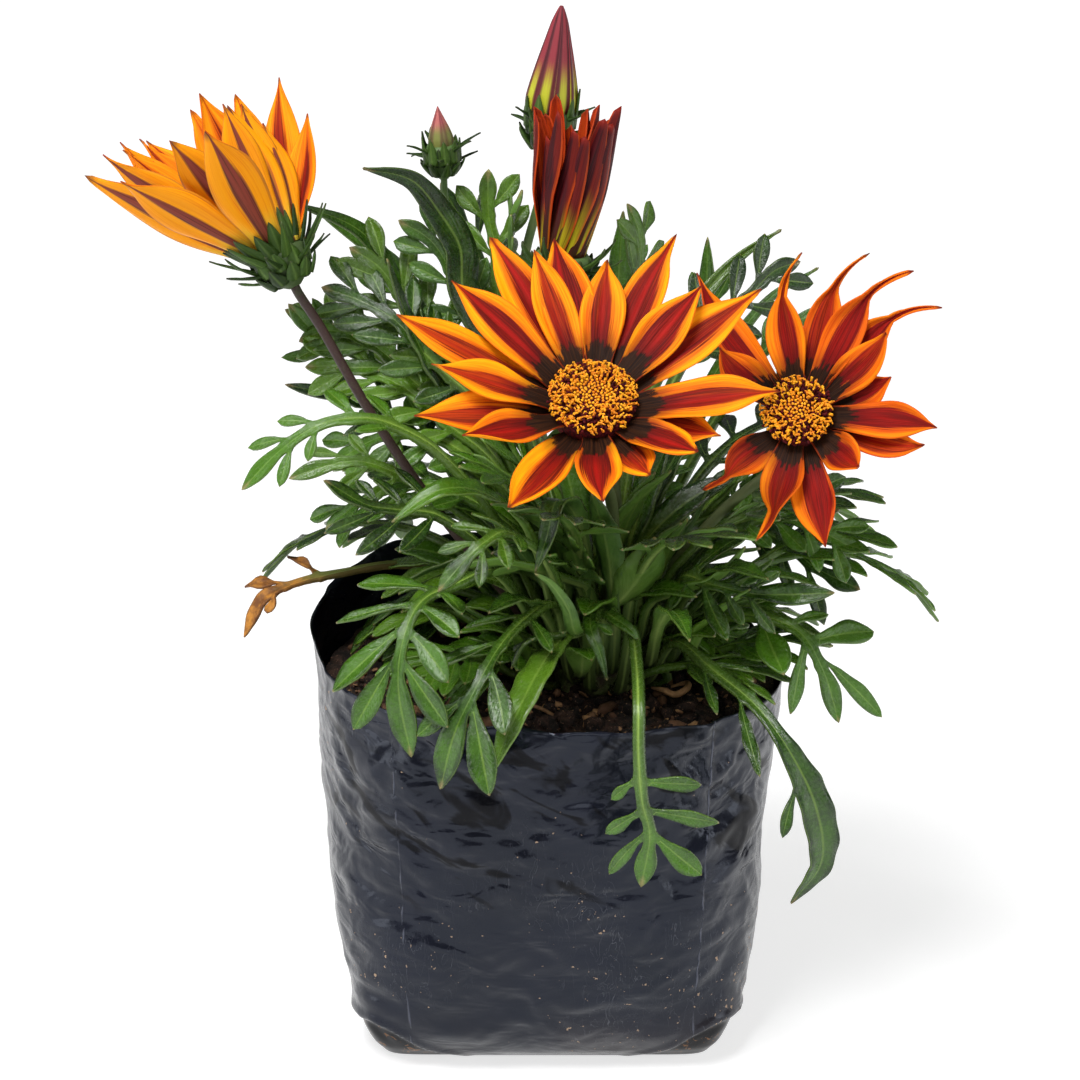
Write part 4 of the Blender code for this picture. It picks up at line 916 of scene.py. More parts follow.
# Leaves by rule: (how many, first and last azimuth, slot height, length, start and end slope,
# share lobed, where an unlobed blade starts, its width)
clumpTraits = {
    "rings": [
        (4, -178, -138, 28, 30, 40, -30, 0.8, 0.45, 7.5),
        (3, -24, -6, 28, 30, 40, -20, 0.8, 0.45, 7.5),
        (8, -158, -22, 36, 27, 78, 20, 0.0, 0.25, 8.5),
        (7, -176, -108, 70, 44, 86, 36, 0.15, 0.4, 7.5),
        (4, -48, -4, 70, 44, 86, 36, 0.15, 0.4, 7.5),
        (10, -172, -8, 52, 50, 70, 10, 0.25, 0.42, 8.5),
        (12, 4, 176, 68, 60, 84, 36, 0.3, 0.45, 7.5),
        (12, 8, 172, 44, 58, 66, 0, 0.6, 0.45, 7.5),
        (11, 0, 180, 30, 46, 52, -40, 0.6, 0.42, 8.0),
        (8, 20, 160, 20, 30, 60, 0, 0.3, 0.3, 8.0),
    ],
    "shift": 11.0,
    "seed": 21,
}


def makeInnerLeaves():
    growth = Growth()
    for index, shape in enumerate(innerShapes):
        growLeaf(growth, shape, crownTurn(shape["toward"], 0, 0), random.Random(40 + index))
    leafPiece(growth, "innerLeaves")
    chance = random.Random(clumpTraits["seed"])
    growth = Growth()
    grown = 0
    for count, first, last, lift, length, rise, fall, lobed, start, wide in clumpTraits["rings"]:
        for azimuth in spread(count, first, last):
            azimuth += chance.uniform(-6, 6)
            size = length * chance.uniform(0.68, 1.18)
            slot = lift + chance.uniform(-8, 8)
            slopes = rise - chance.uniform(0, 18), fall + chance.uniform(-30, 24)
            shape = fillerLeaf(azimuth, slot, size, *slopes, chance)
            if chance.random() > lobed:
                shape |= {"lobes": [], "tip": wide * chance.uniform(0.7, 1.25), "tipStart": start}
                shape |= {"roll": chance.uniform(-40, 40)}
            shift = Vector([chance.uniform(-1, 1) * clumpTraits["shift"] for axis in range(2)] + [0])
            matrix = Matrix.Translation(shift) @ crownTurn(shape["toward"], 0, 0)
            growLeaf(growth, shape, matrix, chance)
            grown += 1
    leafPiece(growth, "clumpLeaves")
    print("inner leaves:", len(innerShapes), "clump:", grown)


makeInnerLeaves()


# Blooms

petalTraits = {
    "rows": 26,
    "columns": 13,
    "height": 1.1,
    "sink": 2.2,  # how far their roots reach into the cup
    "layerStep": 1.25,
    "layerCup": 5,  # degrees between the two layers
    "channel": 0.2,
    "sheet": 0.35,
    "outline": [
        (0, 0.5), (0.15, 0.62), (0.3, 0.82), (0.44, 0.97), (0.54, 1), (0.66, 0.91), (0.78, 0.66),
        (0.88, 0.34), (0.95, 0.13), (1, 0),
    ],
    "pleat": 0.28,
    "wave": 0.75,
    "uneven": 7,  # degrees by which petals without angles of their own differ
    "tailTurn": 0,
}
bractTraits = petalTraits | {
    "rows": 10,
    "columns": 5,
    "outline": [(0, 0.9), (0.2, 1), (0.45, 0.85), (0.7, 0.55), (0.9, 0.22), (1, 0)],
    "pleat": 0.0,
    "wave": 0.1,
    "channel": 0.3,
}


def petalsRound(names, rows, cup, curl, width):
    # full petals, in two layers by turns; a row is (angle, length, a value for each name, {other values}),
    # and it may leave out the last ones
    petals = []
    uneven = petalTraits["uneven"]
    for index, (angle, length, *values) in enumerate(rows):
        others = values.pop() if values and isinstance(values[-1], dict) else {}
        petal = {
            "angle": angle, "length": length, "width": width, "cup": cup,
            "curl": curl + uneven * math.sin(1.7 * index), "sweep": 0,
            "twist": uneven * 1.5 * math.sin(3.1 * index), "height": petalTraits["height"],
            "layer": petalTraits["layerStep"] * (index % 2), "tilt": uneven * math.sin(2.4 * index),
            "tail": 0, "stripe": None,
        } | dict(zip(names, values)) | others
        petal["cup"] += petalTraits["layerCup"] * (index % 2)
        petals.append(tuple(petal.values()))
    return petals


def bractsRound(count, length, width, cup, curl, height):
    bracts = []
    for index in range(count):
        short = index % 2
        angle, size = 360 * index / count + 11, length * (1 - 0.18 * short)
        bracts.append((angle, size, width, cup - 16 * short, curl, 0, 0, height - short, 0, 0))
    return bracts


def bloomFrame(centre, axis):
    out = Vector(axis).normalized()
    across = (Vector((1, 0, 0)) - out * out.x).normalized()
    turn = Matrix((across, out.cross(across), out)).transposed().to_4x4()
    return Matrix.Translation(Vector(centre)) @ turn


def growBlade(growth, blade, root, traits, matrix, chance, paint=0):
    # one petal or bract: it leaves the root circle at its cup angle and curls, sweeps and twists;
    # tail is the share of its length that is thin, and stripe is its width, rust and lean, each 0 to 1
    angle, length, width, cup, curl, sweep, twist, height, layer, tilt, tail, stripe = (*blade, 0, None)[:12]
    rows, columns = traits["rows"], traits["columns"]
    steep = math.radians(cup)
    place = around(math.radians(angle)) * (root - layer * math.sin(steep))
    place += upward * (height + layer * math.cos(steep))
    own = drawn(chance)
    own = stripe or own
    phase = chance.uniform(0, 6)
    grid = []
    for row in range(rows + 1):
        share = row / rows
        outer = max(0.0, (share - 0.45) / 0.55)
        hook = tail * traits["tailTurn"] * ease(share, 1 - tail * 1.4, 1) if tail else 0
        heading = math.radians(angle + sweep * outer + hook)
        slope = math.radians(cup + curl * share * share)
        flat = around(heading)
        side = upward.cross(flat)
        forward = flat * math.cos(slope) + upward * math.sin(slope) + side * traits.get("spiral", 0)
        forward.normalize()
        side = (side - forward * side.dot(forward)).normalized()
        spin = Matrix.Rotation(math.radians(tilt + twist * outer), 3, forward)
        side, up = spin @ side, spin @ forward.cross(side)
        if row:
            place = place + forward * (length - root) / rows
        reach = max(math.hypot(place.x, place.y), root + share * (length - root) * 0.9)
        if row == rows:
            grid.append([growth.point(matrix @ place, 0.5, 1.0, (reach, length, 1), own)] * columns)
            break
        if tail:
            body = share / (1 - tail) * 0.94
            thin = 0.2 * ((1 - share) / tail) ** 0.8
            half = width / 2 * (readCurve(traits["outline"], body) if body < 0.94 else thin)
        else:
            half = width / 2 * readCurve(traits["outline"], share)
        line = []
        for column in range(columns):
            across = column / (columns - 1) * 2 - 1
            lift = half * traits["channel"] * across * across
            lift -= traits["pleat"] * math.cos(3 * math.pi * across) * math.sin(math.pi * min(1, share * 1.1))
            lift += traits["wave"] * math.sin(share * 9 + phase + across * 1.5) * abs(across) ** 3
            spot = place + side * half * across + up * lift
            marks = (reach, length, abs(across))
            line.append(growth.point(matrix @ spot, (across + 1) / 2, share, marks, own))
        grid.append(line)
    growth.skin([line[::-1] for line in grid], paint=paint)


def streaks(paint):
    # long streaks that run along a petal, coarse and fine, each petal with its own
    across, along, off = paint.blade()
    first, second, third = paint.marks("own")
    coarse = paint.join(across * 6 + first * 31, along * 0.8 + second * 17, third * 9)
    fine = paint.join(across * 42 + second * 23, along * 2.0 + third * 5, first * 7)
    return across, along, off, paint.cloud(coarse, 1, 3), paint.cloud(fine, 1, 3, 0.6), first, second, third


def petalTopPaint(name, looks):
    paint = Paint(name, Specular_IOR_Level=0.14)
    across, along, off, coarse, fine, first, second, third = streaks(paint)
    reach, length, edge = paint.marks("marks")
    off = abs(across * 2 - 1 + (third - 0.5) * 0.55)  # the stripe lies to one side
    deep = paint.ease(fine * 0.5 + coarse * 0.7, 0.45, 0.85)
    margin = paint.mix(deep, looks["margin"], looks["marginDeep"])
    width = looks["stripe"] + (first - 0.5) * looks["vary"] - paint.ease(along, 0.45, 1.0) * looks["taper"]
    inside = width + (coarse - 0.5) * 0.55 + (fine - 0.5) * 0.45 - off
    colour = paint.mix(paint.ease(inside, -0.4, 0.0) * 0.7, margin, looks["stripeRust"])
    stripe = paint.ease(inside, -0.05, 0.07)
    rust = paint.ease(second * 1.1 + (coarse - 0.5) * 1.4 + along * 0.6 - 0.1, 0.8, 1.3)
    band = paint.mix(rust * 0.85, looks["stripeRed"], looks["stripeRust"])
    band = paint.mix(paint.ease(fine + (coarse - 0.5) * 0.5, 0.42, 0.6) * 0.75, band, looks["stripeDark"])
    glow = paint.ease(0.16 - off + (fine - 0.5) * 0.3, 0, 0.12) * paint.ease(first + third, 0.9, 1.3)
    band = paint.mix(glow * 0.6, band, looks["glow"])
    colour = paint.mix(stripe * looks["strength"], colour, band)
    # a brown-black base that ends in small teeth
    cell = paint.node("ShaderNodeMath", {"operation": "FLOOR"}, {0: across * 15 + first * 4})
    sockets = {"W": cell + second * 60}
    tooth = paint.node("ShaderNodeTexWhiteNoise", {"noise_dimensions": "1D"}, sockets, "Value")
    ragged = reach + tooth * 2.6 + paint.ease(off, 0.3, 0.9) * 2.4 + (fine - 0.5) * 2 - first * 1.4
    shade = paint.ease(ragged, looks["base"] + 6.5, looks["base"])
    colour = paint.mix(shade * 0.55, colour, looks["stripeDark"])
    base = paint.mix(paint.ease(fine, 0.4, 0.65), looks["baseColour"], looks["baseLight"])
    colour = paint.mix(paint.ease(ragged, looks["base"] + 0.5, looks["base"] - 0.3), colour, base)
    colour = paint.mix(paint.ease(along, 0.93, 0.995) * 0.8, colour, looks["tip"])
    colour = paint.mix(paint.ease(edge + (fine - 0.5) * 0.1, 0.93, 1.0) * 0.35, colour, looks["stripeRust"])
    return paint.finish(colour, 0.62 + (fine - 0.5) * 0.3, fine * 0.9 + coarse * 0.4, 0.6, 0.45)


def petalUnderPaint(name, looks):
    paint = Paint(name, Specular_IOR_Level=0.16)
    across, along, off, coarse, fine, first, second, third = streaks(paint)
    margin = paint.mix(fine * 0.5 + coarse * 0.5, looks["margin"], looks["marginDeep"])
    low = paint.ease(along + (coarse - 0.5) * 0.3, looks.get("rootEnd", 0.34), 0.02)
    margin = paint.mix(low, margin, looks["root"])
    width = looks["stripe"] + (first - 0.5) * looks["vary"]
    width = width * (1 - paint.ease(along, 0.45, 1.0) * 0.6)
    margin = paint.mix(paint.ease(fine + (coarse - 0.5) * 0.4, 0.52, 0.66) * 0.5, margin, looks["marginDeep"])
    stripe = paint.ease(width + (coarse - 0.5) * 0.34 + (fine - 0.5) * 0.2 - off, -0.08, 0.07)
    red = paint.ease(fine + paint.ease(off, 0.2, 0.0) * 0.12, 0.35, 0.65)
    band = paint.mix(red, looks["stripeDark"], looks["stripeRed"])
    colour = paint.mix(stripe * looks["strength"], margin, band)
    colour = paint.mix(paint.ease(along, 0.91, 0.99) * 0.8, colour, looks["tip"])
    rim = paint.ease(off + (fine - 0.5) * 0.2, 0.88, 1.0) * looks.get("edgeShare", 0.4)
    colour = paint.mix(rim, colour, looks.get("edge", looks["stripeRed"]))
    return paint.finish(colour, 0.52 + (fine - 0.5) * 0.3, fine * 0.8 + coarse * 0.3, 0.35, 0.35)


openLooks = {
    "margin": tint(255, 164, 4), "marginDeep": tint(240, 112, 4), "stripe": 0.47, "vary": 0.46, "taper": 0.26,
    "strength": 0.98,
    "stripeRed": tint(132, 9, 5), "stripeRust": tint(194, 62, 5), "stripeDark": tint(62, 4, 5),
    "glow": tint(172, 14, 14),
    "base": 17.5, "baseColour": tint(22, 8, 4), "baseLight": tint(58, 30, 10), "tip": tint(96, 30, 16),
}
rightLooks = openLooks | {
    "stripe": 0.6, "vary": 0.2, "taper": 0.1, "stripeRed": tint(140, 8, 6), "stripeDark": tint(80, 4, 5),
    "base": 14.6,
    "margin": tint(248, 138, 6), "marginDeep": tint(220, 84, 4),
}
leftLooks = openLooks | {
    "stripe": 0.36, "vary": 0.3, "base": 6.0, "strength": 0.95, "margin": tint(248, 158, 8),
    "marginDeep": tint(224, 100, 6),
}
underLooks = {
    "margin": tint(250, 172, 4), "marginDeep": tint(218, 116, 4), "root": tint(216, 184, 56), "stripe": 0.38,
    "vary": 0.34,
    "strength": 0.95, "stripeRed": tint(122, 48, 46), "stripeDark": tint(58, 18, 28), "tip": tint(70, 30, 34),
}
closingTopLooks = leftLooks | {"margin": tint(184, 62, 14), "marginDeep": tint(148, 30, 12), "base": 8.0}
closingLooks = {
    "margin": tint(112, 22, 10), "marginDeep": tint(62, 8, 12), "root": tint(186, 176, 24), "stripe": 0.76,
    "vary": 0.3,
    "strength": 0.97, "stripeRed": tint(70, 9, 16), "stripeDark": tint(26, 4, 9), "tip": tint(126, 26, 12),
    "rootEnd": 0.5,
    "edge": tint(206, 78, 14), "edgeShare": 0.8,
}

frontBloom = {
    "centre": (11, -38, 176),
    "axis": (0.0, -0.588, 0.809),
    "petals": petalsRound(
        ["stripe"],
        [
            (33, 51, (0.5, 0.6, 0.55), {"width": 12.5, "tail": 0.08}),
            (45, 41, (0.95, 0.2, 0.5), {"cup": 17}),
            (66, 51, (0.95, 0.5, 0.3), {"tail": 0.12, "sweep": -6}), (84, 40, (0.6, 0.6, 0.5), {"cup": 14}),
            (102, 46, (0.95, 0.1, 0.35), {"width": 13}), (110, 44, (0.5, 0.8, 0.5), {"cup": 12, "width": 10}),
            (120, 52, (0.5, 0.5, 0.85), {"width": 12.5, "tail": 0.06}), (141, 47, (0.65, 0.35, 0.6)),
            (160, 53, (0.5, 0.9, 0.5)), (176, 42, (0.6, 0.8, 0.5), {"cup": 18, "width": 10.5}),
            (192, 45, (0.75, 0.85, 0.25)), (211, 40, (1, 0.3, 0.4), {"curl": 10}),
            (242, 45, (0.6, 0.7, 0.25)),
            (273, 39, (0.8, 0.25, 0.75)), (297, 31, (0.65, 0.95, 0.5), {"curl": 18}),
            (318, 36, (0.9, 0.3, 0.4), {"curl": 8}), (337, 34, (0.8, 0.8, 0.5), {"cup": 14}),
            (352, 48, (0.6, 0.6, 0.5), {"width": 12.5, "tail": 0.1}),
        ],
        18, 0, 11.0,
    ),
    "root": 11.0, "disc": (10.8, 4.2), "cup": 8.5, "cupDepth": 13.0, "stem": 1.5, "lift": 72,
    "way": [(17, -8, 128), (16, -14, 146)],
    "bracts": bractsRound(7, 17, 3.2, 12, 20, -4.5),
    "florets": 430, "looks": openLooks,
}
rightBloom = {
    "centre": (63, -18, 168),
    "axis": (-0.2, -0.8, 0.57),
    "petals": petalsRound(
        ["sweep", "twist", "tail"],
        [
            (12, 26, 20, {"curl": 30}), (32, 31, 20), (44, 47, -16, 40, 0.34), (57, 48, -14, 50, 0.32),
            (73, 46, -12, 50, 0.32), (97, 43, -18, 60, 0.34), (128, 45, -20, 40, {"width": 8.5}),
            (143, 27, -20, {"curl": 30}), (220, 32, 30, {"curl": 20, "tail": 0.3}),
            (257, 39, 18, 40, 0.32, {"width": 10.5}), (278, 37, 10, {"width": 10.5}), (312, 26, {"curl": 40}),
            (336, 35, 14, 30, {"width": 8}), (349, 38, -12),
        ],
        10, 12, 9.5,
    ),
    "root": 9.0, "disc": (8.6, 3.6), "cup": 7.0, "cupDepth": 12.0, "stem": 1.4, "lift": 60,
    "way": [(31, -3, 121), (46, -3, 139)],
    "bracts": bractsRound(7, 15, 3.0, 12, 20, -4.0),
    "florets": 320, "looks": rightLooks, "shape": {"tailTurn": -120},
}
leftBloom = {
    "centre": (-67, 0, 205),
    "axis": (-0.45, 0.25, 0.86),
    "petals": petalsRound(
        ["cup", "tilt", "width"],
        [
            (194, 53, 51, 40, 12), (208, 52, 48, 28), (228, 49, 44, 16, 12.5), (249, 46, 52, 14, 12),
            (270, 50, 42, 8, 13), (290, 44, 66, 10), (312, 43, 86, -22, 12), (333, 42, 77, -42, 11),
            (351, 36, 76, -50, 9), (14, 38, 49, 56, 7.5), (34, 49, 67, 44, 9.5), (62, 48, 68, 18, 11),
            (88, 50, 86, 10, 12), (108, 49, 71), (130, 53, 62, -8), (150, 50, 60, -16), (164, 52, 63, -26),
            (178, 49, 60, -28),
        ],
        48, 4, 10.5,
    ),
    "root": 8.0, "disc": (5.4, 3.6), "cup": 7.4, "cupDepth": 9.0, "stem": 1.25, "lift": 35, "neck": 2,
    "way": [(-12, -5, 118), (-27, -6, 138), (-37, -6, 153), (-47, -4, 169), (-57, -2, 187)],
    "bracts": bractsRound(13, 20, 2.6, 36, 10, -3.5) + [
        # broad ones lie up the backs of the petals
        (angle, 17 + index % 3, 4.8, cup, 8, 0, 0, -3.0, 0, 0)
        for index, (angle, cup) in enumerate([
            (200, 46), (218, 42), (238, 42), (258, 44), (279, 50), (300, 62), (322, 70), (343, 66), (2, 54),
            (30, 54),
        ])
    ],
    "florets": 90, "looks": leftLooks,
}
closingBloom = {
    "centre": (4, 5, 203),
    "axis": (0.09, 0.02, 0.995),
    "petals": [
        (
            21.2 * index, 43 - 3 * (index % 3) + 1.5 * (index % 2), 5.6, 89 - 4 * (index % 2),
            -2 + 8 * (index % 2), 18, 26, petalTraits["height"], 0, -30,
        )
        for index in range(17)
    ],
    "root": 7.6, "cup": 7.4, "cupDepth": 9.0, "stem": 1.4, "lift": 78,
    "way": [(19, 2, 122), (16, 4, 150)],
    "bracts": bractsRound(7, 17, 3.0, 30, 40, -3.5),
    "looks": closingLooks,
    "shape": {
        "channel": 1.05,
        "wave": 0.25,
        "spiral": 0.24,
        "outline": [
            (0, 0.7), (0.2, 0.86), (0.42, 1), (0.64, 0.92), (0.8, 0.7), (0.92, 0.46), (0.98, 0.28), (1, 0.1),
        ],
    },
}


def makePetals(node, bloom, top, under, slot):
    matrix = bloomFrame(bloom["centre"], bloom["axis"])
    chance = random.Random(node)
    traits = petalTraits | bloom.get("shape", {})
    growth = Growth()
    for petal in bloom["petals"]:
        growBlade(growth, petal, bloom["root"] - traits["sink"], traits, matrix, chance)
    growth.piece(pieceName(node), [top, under], node, slot, traits["sheet"])


def floretPaint():
    paint = Paint("floretYellow", Specular_IOR_Level=0.35)
    first, second, third = paint.marks("own")
    across, along, off = paint.blade()
    grain = paint.cloud(paint.place(), 2500, 2)
    colour = paint.mix(first, tint(228, 128, 8), tint(250, 176, 18))
    colour = paint.mix(paint.ease(along, 0.6, 0.1) * 0.85, colour, tint(104, 22, 12))
    colour = paint.mix((grain - 0.4) * 0.4, colour, tint(255, 206, 70))
    return paint.finish(colour, 0.6 + (grain - 0.5) * 0.3, grain, 0.5, 0.3)


def floretBasePaint():
    paint = Paint("floretBase", Specular_IOR_Level=0.2)
    grain = paint.cloud(paint.place(), 1400, 3, 0.6)
    colour = paint.mix(paint.ease(grain, 0.35, 0.65), tint(44, 4, 10), tint(98, 16, 20))
    return paint.finish(colour, 0.8 + (grain - 0.5) * 0.3, grain, 0.8, 0.6)


floretTraits = {
    "stem": 0.31,
    "curl": 0.25,
    "tall": 2.0,
    "short": 0.8,
    "darkShare": 0.35,
    "lift": 3.9,  # of the disc's edge above the petals' roots
    "turn": 137.508,  # degrees from one floret to the next
    "sides": 40,
    "rings": 12,
}


def makeFlorets(node, bloom, yellow, dark):
    # a dark dome with florets set in a sunflower spiral: closed in the middle, forked and curled outside
    radius, height = bloom["disc"]
    matrix = bloomFrame(bloom["centre"], bloom["axis"])
    traits = floretTraits
    lift, sides, rings = traits["lift"], traits["sides"], traits["rings"]
    foot = lift - 3.2
    chance = random.Random(node)
    growth = Growth()

    def domeSpot(angle, reach, level):
        spot = around(angle, reach, level)
        return matrix @ (spot + Vector((0, 0, 0.3 * noise.noise(spot * 1.3))))

    rows = [growth.cap(sides, matrix @ Vector((0, 0, foot)))]
    for ring in range(rings):
        rise = math.pi / 2 * ring / rings
        reach, level = (radius - 0.4) * math.cos(rise), lift + (height - 0.5) * math.sin(rise)
        rows.append(growth.ring(sides, lambda angle: domeSpot(angle, reach, level if ring else foot)))
    rows.append(growth.cap(sides, matrix @ Vector((0, 0, lift + height - 0.5))))
    growth.skin(rows, True, 1)
    count = bloom["florets"]
    for index in range(count):
        out = math.sqrt((index + 0.5) / count)
        flat = around(math.radians(traits["turn"] * index))
        level = math.sqrt(max(0.0, 1 - (out * 0.94) ** 2))
        base = flat * radius * 0.9 * out + upward * (lift + (height - 0.8) * level)
        lean = (flat * out * 0.9 + upward * (1.1 - out * 0.4)).normalized()
        lean = (lean + anyWay(chance, 0.28)).normalized()
        opened = ease(out, 0.3, 0.6) * chance.uniform(0.7, 1.1)
        tall = traits["short"] + (traits["tall"] - traits["short"]) * min(1.0, opened)
        own = drawn(chance)
        top = base + lean * tall
        bend = anyWay(chance, 0.3)
        path = [matrix @ spot for spot in smoothPath([base, base.lerp(top, 0.55) + bend * 0.5, top], 3)]
        paint = int(chance.random() < traits["darkShare"] * opened)
        tube(growth, path, lambda along: traits["stem"] * (0.8 + 0.35 * along), 6, own, paint)
        if opened > 0.35 and paint == 0:
            side = lean.cross(anyWay(chance)).normalized()
            for way in (-1, 1)[: chance.choice((1, 1, 2))]:
                curl = [top - lean * 0.3]
                heading = (lean * 0.8 + side * way).normalized()
                for step in range(4):
                    curl.append(curl[-1] + heading * 0.26)
                    heading = (heading * 0.62 + side * way * 0.5 - lean * 0.5 * (step > 0)).normalized()
                spots = [matrix @ spot for spot in smoothPath(curl, 2)]
                tube(growth, spots, lambda along: traits["curl"] * (1 - 0.3 * along), 5, own)
    growth.piece(pieceName(node), [yellow, dark], node, "floret_yellow")


def stalkPaint(name, low, high, fade, shadow=tint(56, 66, 36)):
    paint = Paint(name, Specular_IOR_Level=0.4)
    length, along, kind = paint.marks("marks")
    place = paint.place()
    streak = paint.cloud(place, 420, 3, 0.6)
    grain = paint.cloud(place, 2200, 2)
    colour = paint.mix(paint.ease(along + (streak - 0.5) * 0.4, fade - 0.12, fade + 0.12), low, high)
    colour = paint.mix((streak - 0.35) * 0.6, colour, shadow)
    colour = paint.mix((grain - 0.5) * 0.4, colour, tint(128, 146, 92))
    return paint.finish(colour, 0.55 + (grain - 0.5) * 0.3, streak + grain * 0.5, 0.4, 0.4)


def bractPaint():
    paint = Paint("bractGreen", Specular_IOR_Level=0.22)
    across, along, off = paint.blade()
    first, second, third = paint.marks("own")
    grain = paint.cloud(paint.place(), 1300, 3, 0.6)
    colour = paint.mix(first * 0.6 + (grain - 0.3) * 0.5, tint(22, 40, 12), tint(70, 100, 34))
    colour = paint.mix(paint.ease(off, 0.3, 0.0) * 0.3, colour, tint(112, 140, 66))
    colour = paint.mix(paint.ease(along, 0.8, 1.0) * 0.5, colour, tint(52, 40, 40))
    return paint.finish(colour, 0.5 + (grain - 0.5) * 0.3, grain, 0.4, 0.4)


stalkTraits = {
    "sides": 12,
    "cupSides": 28,
    "cupRings": 10,
    "more": 9,  # spare bracts
    "scales": 9,
    "sheet": 0.4,  # thickness of a bract
    # (share of the cup's depth, share of its radius)
    "cup": [(0.2, 0.55), (0.4, 0.76), (0.7, 0.95), (1, 0.98)],
}


def makeStalk(node, bloom, stem, bracts, slot):
    # a stem, the cup on its end and the bracts round the cup
    matrix = bloomFrame(bloom["centre"], bloom["axis"])
    traits = stalkTraits
    cup, depth, radius = bloom["cup"], bloom["cupDepth"], bloom["stem"]
    chance = random.Random(node)
    growth = Growth()
    way = [Vector(point) for point in bloom["way"]]
    start = [crown["place"] + point for point in crownSlot(way[0] - crown["place"], bloom["lift"])]
    ends = [matrix @ Vector((0, 0, -(depth + bloom.get("neck", 8)))), matrix @ Vector((0, 0, -(depth - 2)))]
    path = smoothPath(start + way + ends)
    tube(growth, path, lambda along: radius * (1.06 - 0.1 * along), traits["sides"], ribbed=0.05)
    # the stem's paint reads how far along it a point lies, and the cup counts as past its end
    for index, (across, along) in enumerate(growth.blade):
        growth.marks[index] = (growth.marks[index][0], along, 0)
    sides, rings = traits["cupSides"], traits["cupRings"]
    profile = [(0, radius * 1.25)] + [(share, cup * wide) for share, wide in traits["cup"]]

    def cupSpot(angle, share):
        wide = readCurve(profile, share) * (1 + 0.03 * math.cos(9 * angle) * math.sin(math.pi * share))
        return matrix @ around(angle, wide, -depth * (1 - share))

    rows = [growth.cap(sides, matrix @ Vector((0, 0, -depth)), (0, 1, 1))]
    for ring in range(rings + 1):
        share = ring / rings
        rows.append(growth.ring(sides, lambda angle: cupSpot(angle, share), share, (0, 1.2, 1)))
    # a low dome closes the cup under the petals
    rows.append(growth.ring(sides, lambda angle: matrix @ around(angle, cup * 0.86, 1.0), 1, (0, 1.2, 1)))
    rows.append(growth.cap(sides, matrix @ Vector((0, 0, 1.3)), (0, 1, 1)))
    growth.skin([row[::-1] for row in rows], True)
    growth.piece(pieceName(node), [stem], node, slot)
    # the bracts are thin sheets of their own, set into the cup
    growth = Growth()
    for blade in bloom["bracts"]:
        growBlade(growth, blade, cup * 0.6, bractTraits, matrix, chance)
    for index in range(bloom.get("more", traits["more"])):
        angle, length, width, rise, curl, sweep, twist, height, layer, tilt = bloom["bracts"][index % 7][:10]
        spare = (
            angle + chance.uniform(12, 34), length * chance.uniform(0.65, 1.05),
            width * chance.uniform(0.7, 1.0), rise + chance.uniform(-30, 16), curl + chance.uniform(-35, 35),
            chance.uniform(-24, 24), chance.uniform(-30, 30), height + chance.uniform(-2.5, 1.5), 0, 0,
        )
        growBlade(growth, spare, cup * 0.6, bractTraits, matrix, chance)
    # broad scales lie along the cup, and a bud has pointed teeth above it
    for ring, steep, low in ((0, 48, 0.85), (1, 72, 0.5)):
        for index in range(traits["scales"]):
            angle = 360 * (index + 0.5 * ring) / traits["scales"] + chance.uniform(-6, 6)
            reach, twist = cup * (0.72 + 0.2 * ring), chance.uniform(-8, 8)
            scale = (angle, reach + depth * 0.62, cup * 0.55, steep, 24, 0, twist, -depth * low, 0, 0)
            growBlade(growth, scale, reach, bractTraits, matrix, chance)
    teeth, tall, wide = bloom.get("teeth", (0, 0, 0))
    for index in range(teeth):
        tooth = (360 * index / teeth, cup + tall * chance.uniform(0.8, 1.2), wide, 88, 3, 0, 0, -3.5, 0, 0)
        growBlade(growth, tooth, cup * 1.1, bractTraits, matrix, chance)
    growth.piece(pieceName(node) + "Bracts", [bracts], None, slot, traits["sheet"])


tallBud = {
    "centre": (1, 27, 235),
    "axis": (0.1, 0.0, 0.995),
    "outline": [
        (0, 6.0), (2, 6.4), (4.5, 6.3), (9, 5.5), (14, 4.4), (19, 3.2), (23.4, 2.1), (26, 1.15), (27.5, 0.4),
    ],
    "length": 27.5, "cup": 5.9, "cupDepth": 11.0, "stem": 1.2, "lift": 66,
    "way": [(6, 14, 125), (-3, 22, 160), (-6, 26, 193)],
    "bracts": bractsRound(7, 13, 2.6, 38, -10, -3.0),
    "wraps": 8, "wind": 0.009, "green": 0.36, "teeth": (9, 9.5, 3.4),
}
smallBud = {
    "centre": (-27, 30, 225),
    "axis": (-0.08, 0.0, 0.995),
    "outline": [(0, 3.3), (2.5, 3.2), (5, 2.5), (8, 1.3), (11, 0.08)],
    "length": 11.0, "cup": 4.2, "cupDepth": 8.0, "stem": 0.9, "lift": 56,
    "way": [(4, 8, 118), (-4, 14, 150), (-15, 22, 180)],
    "bracts": bractsRound(7, 12, 1.8, 40, -20, -2.0),
    "wraps": 5, "wind": 0.012, "green": 0.3, "teeth": (9, 8.0, 2.8), "more": 3,
}


def budPaint(name, looks):
    paint = Paint(name, Specular_IOR_Level=0.4)
    across, along, off = paint.blade()
    fine = paint.cloud(paint.join(across * 30, along * 1.5, 0.0), 1, 3)
    grain = paint.cloud(paint.place(), 1800, 2)
    colour = paint.mix(paint.ease(off + (fine - 0.5) * 0.3, 0.35, 0.8), looks["middle"], looks["edge"])
    low = paint.mix(paint.ease(off, 0.25, 0.65), looks["lowMiddle"], looks["lowEdge"])
    green = paint.ease(along + (fine - 0.5) * 0.3, looks["green"] + 0.22, looks["green"] - 0.12)
    colour = paint.mix(green, colour, low)
    return paint.finish(colour, 0.5 + (grain - 0.5) * 0.2, fine, 0.4, 0.4)


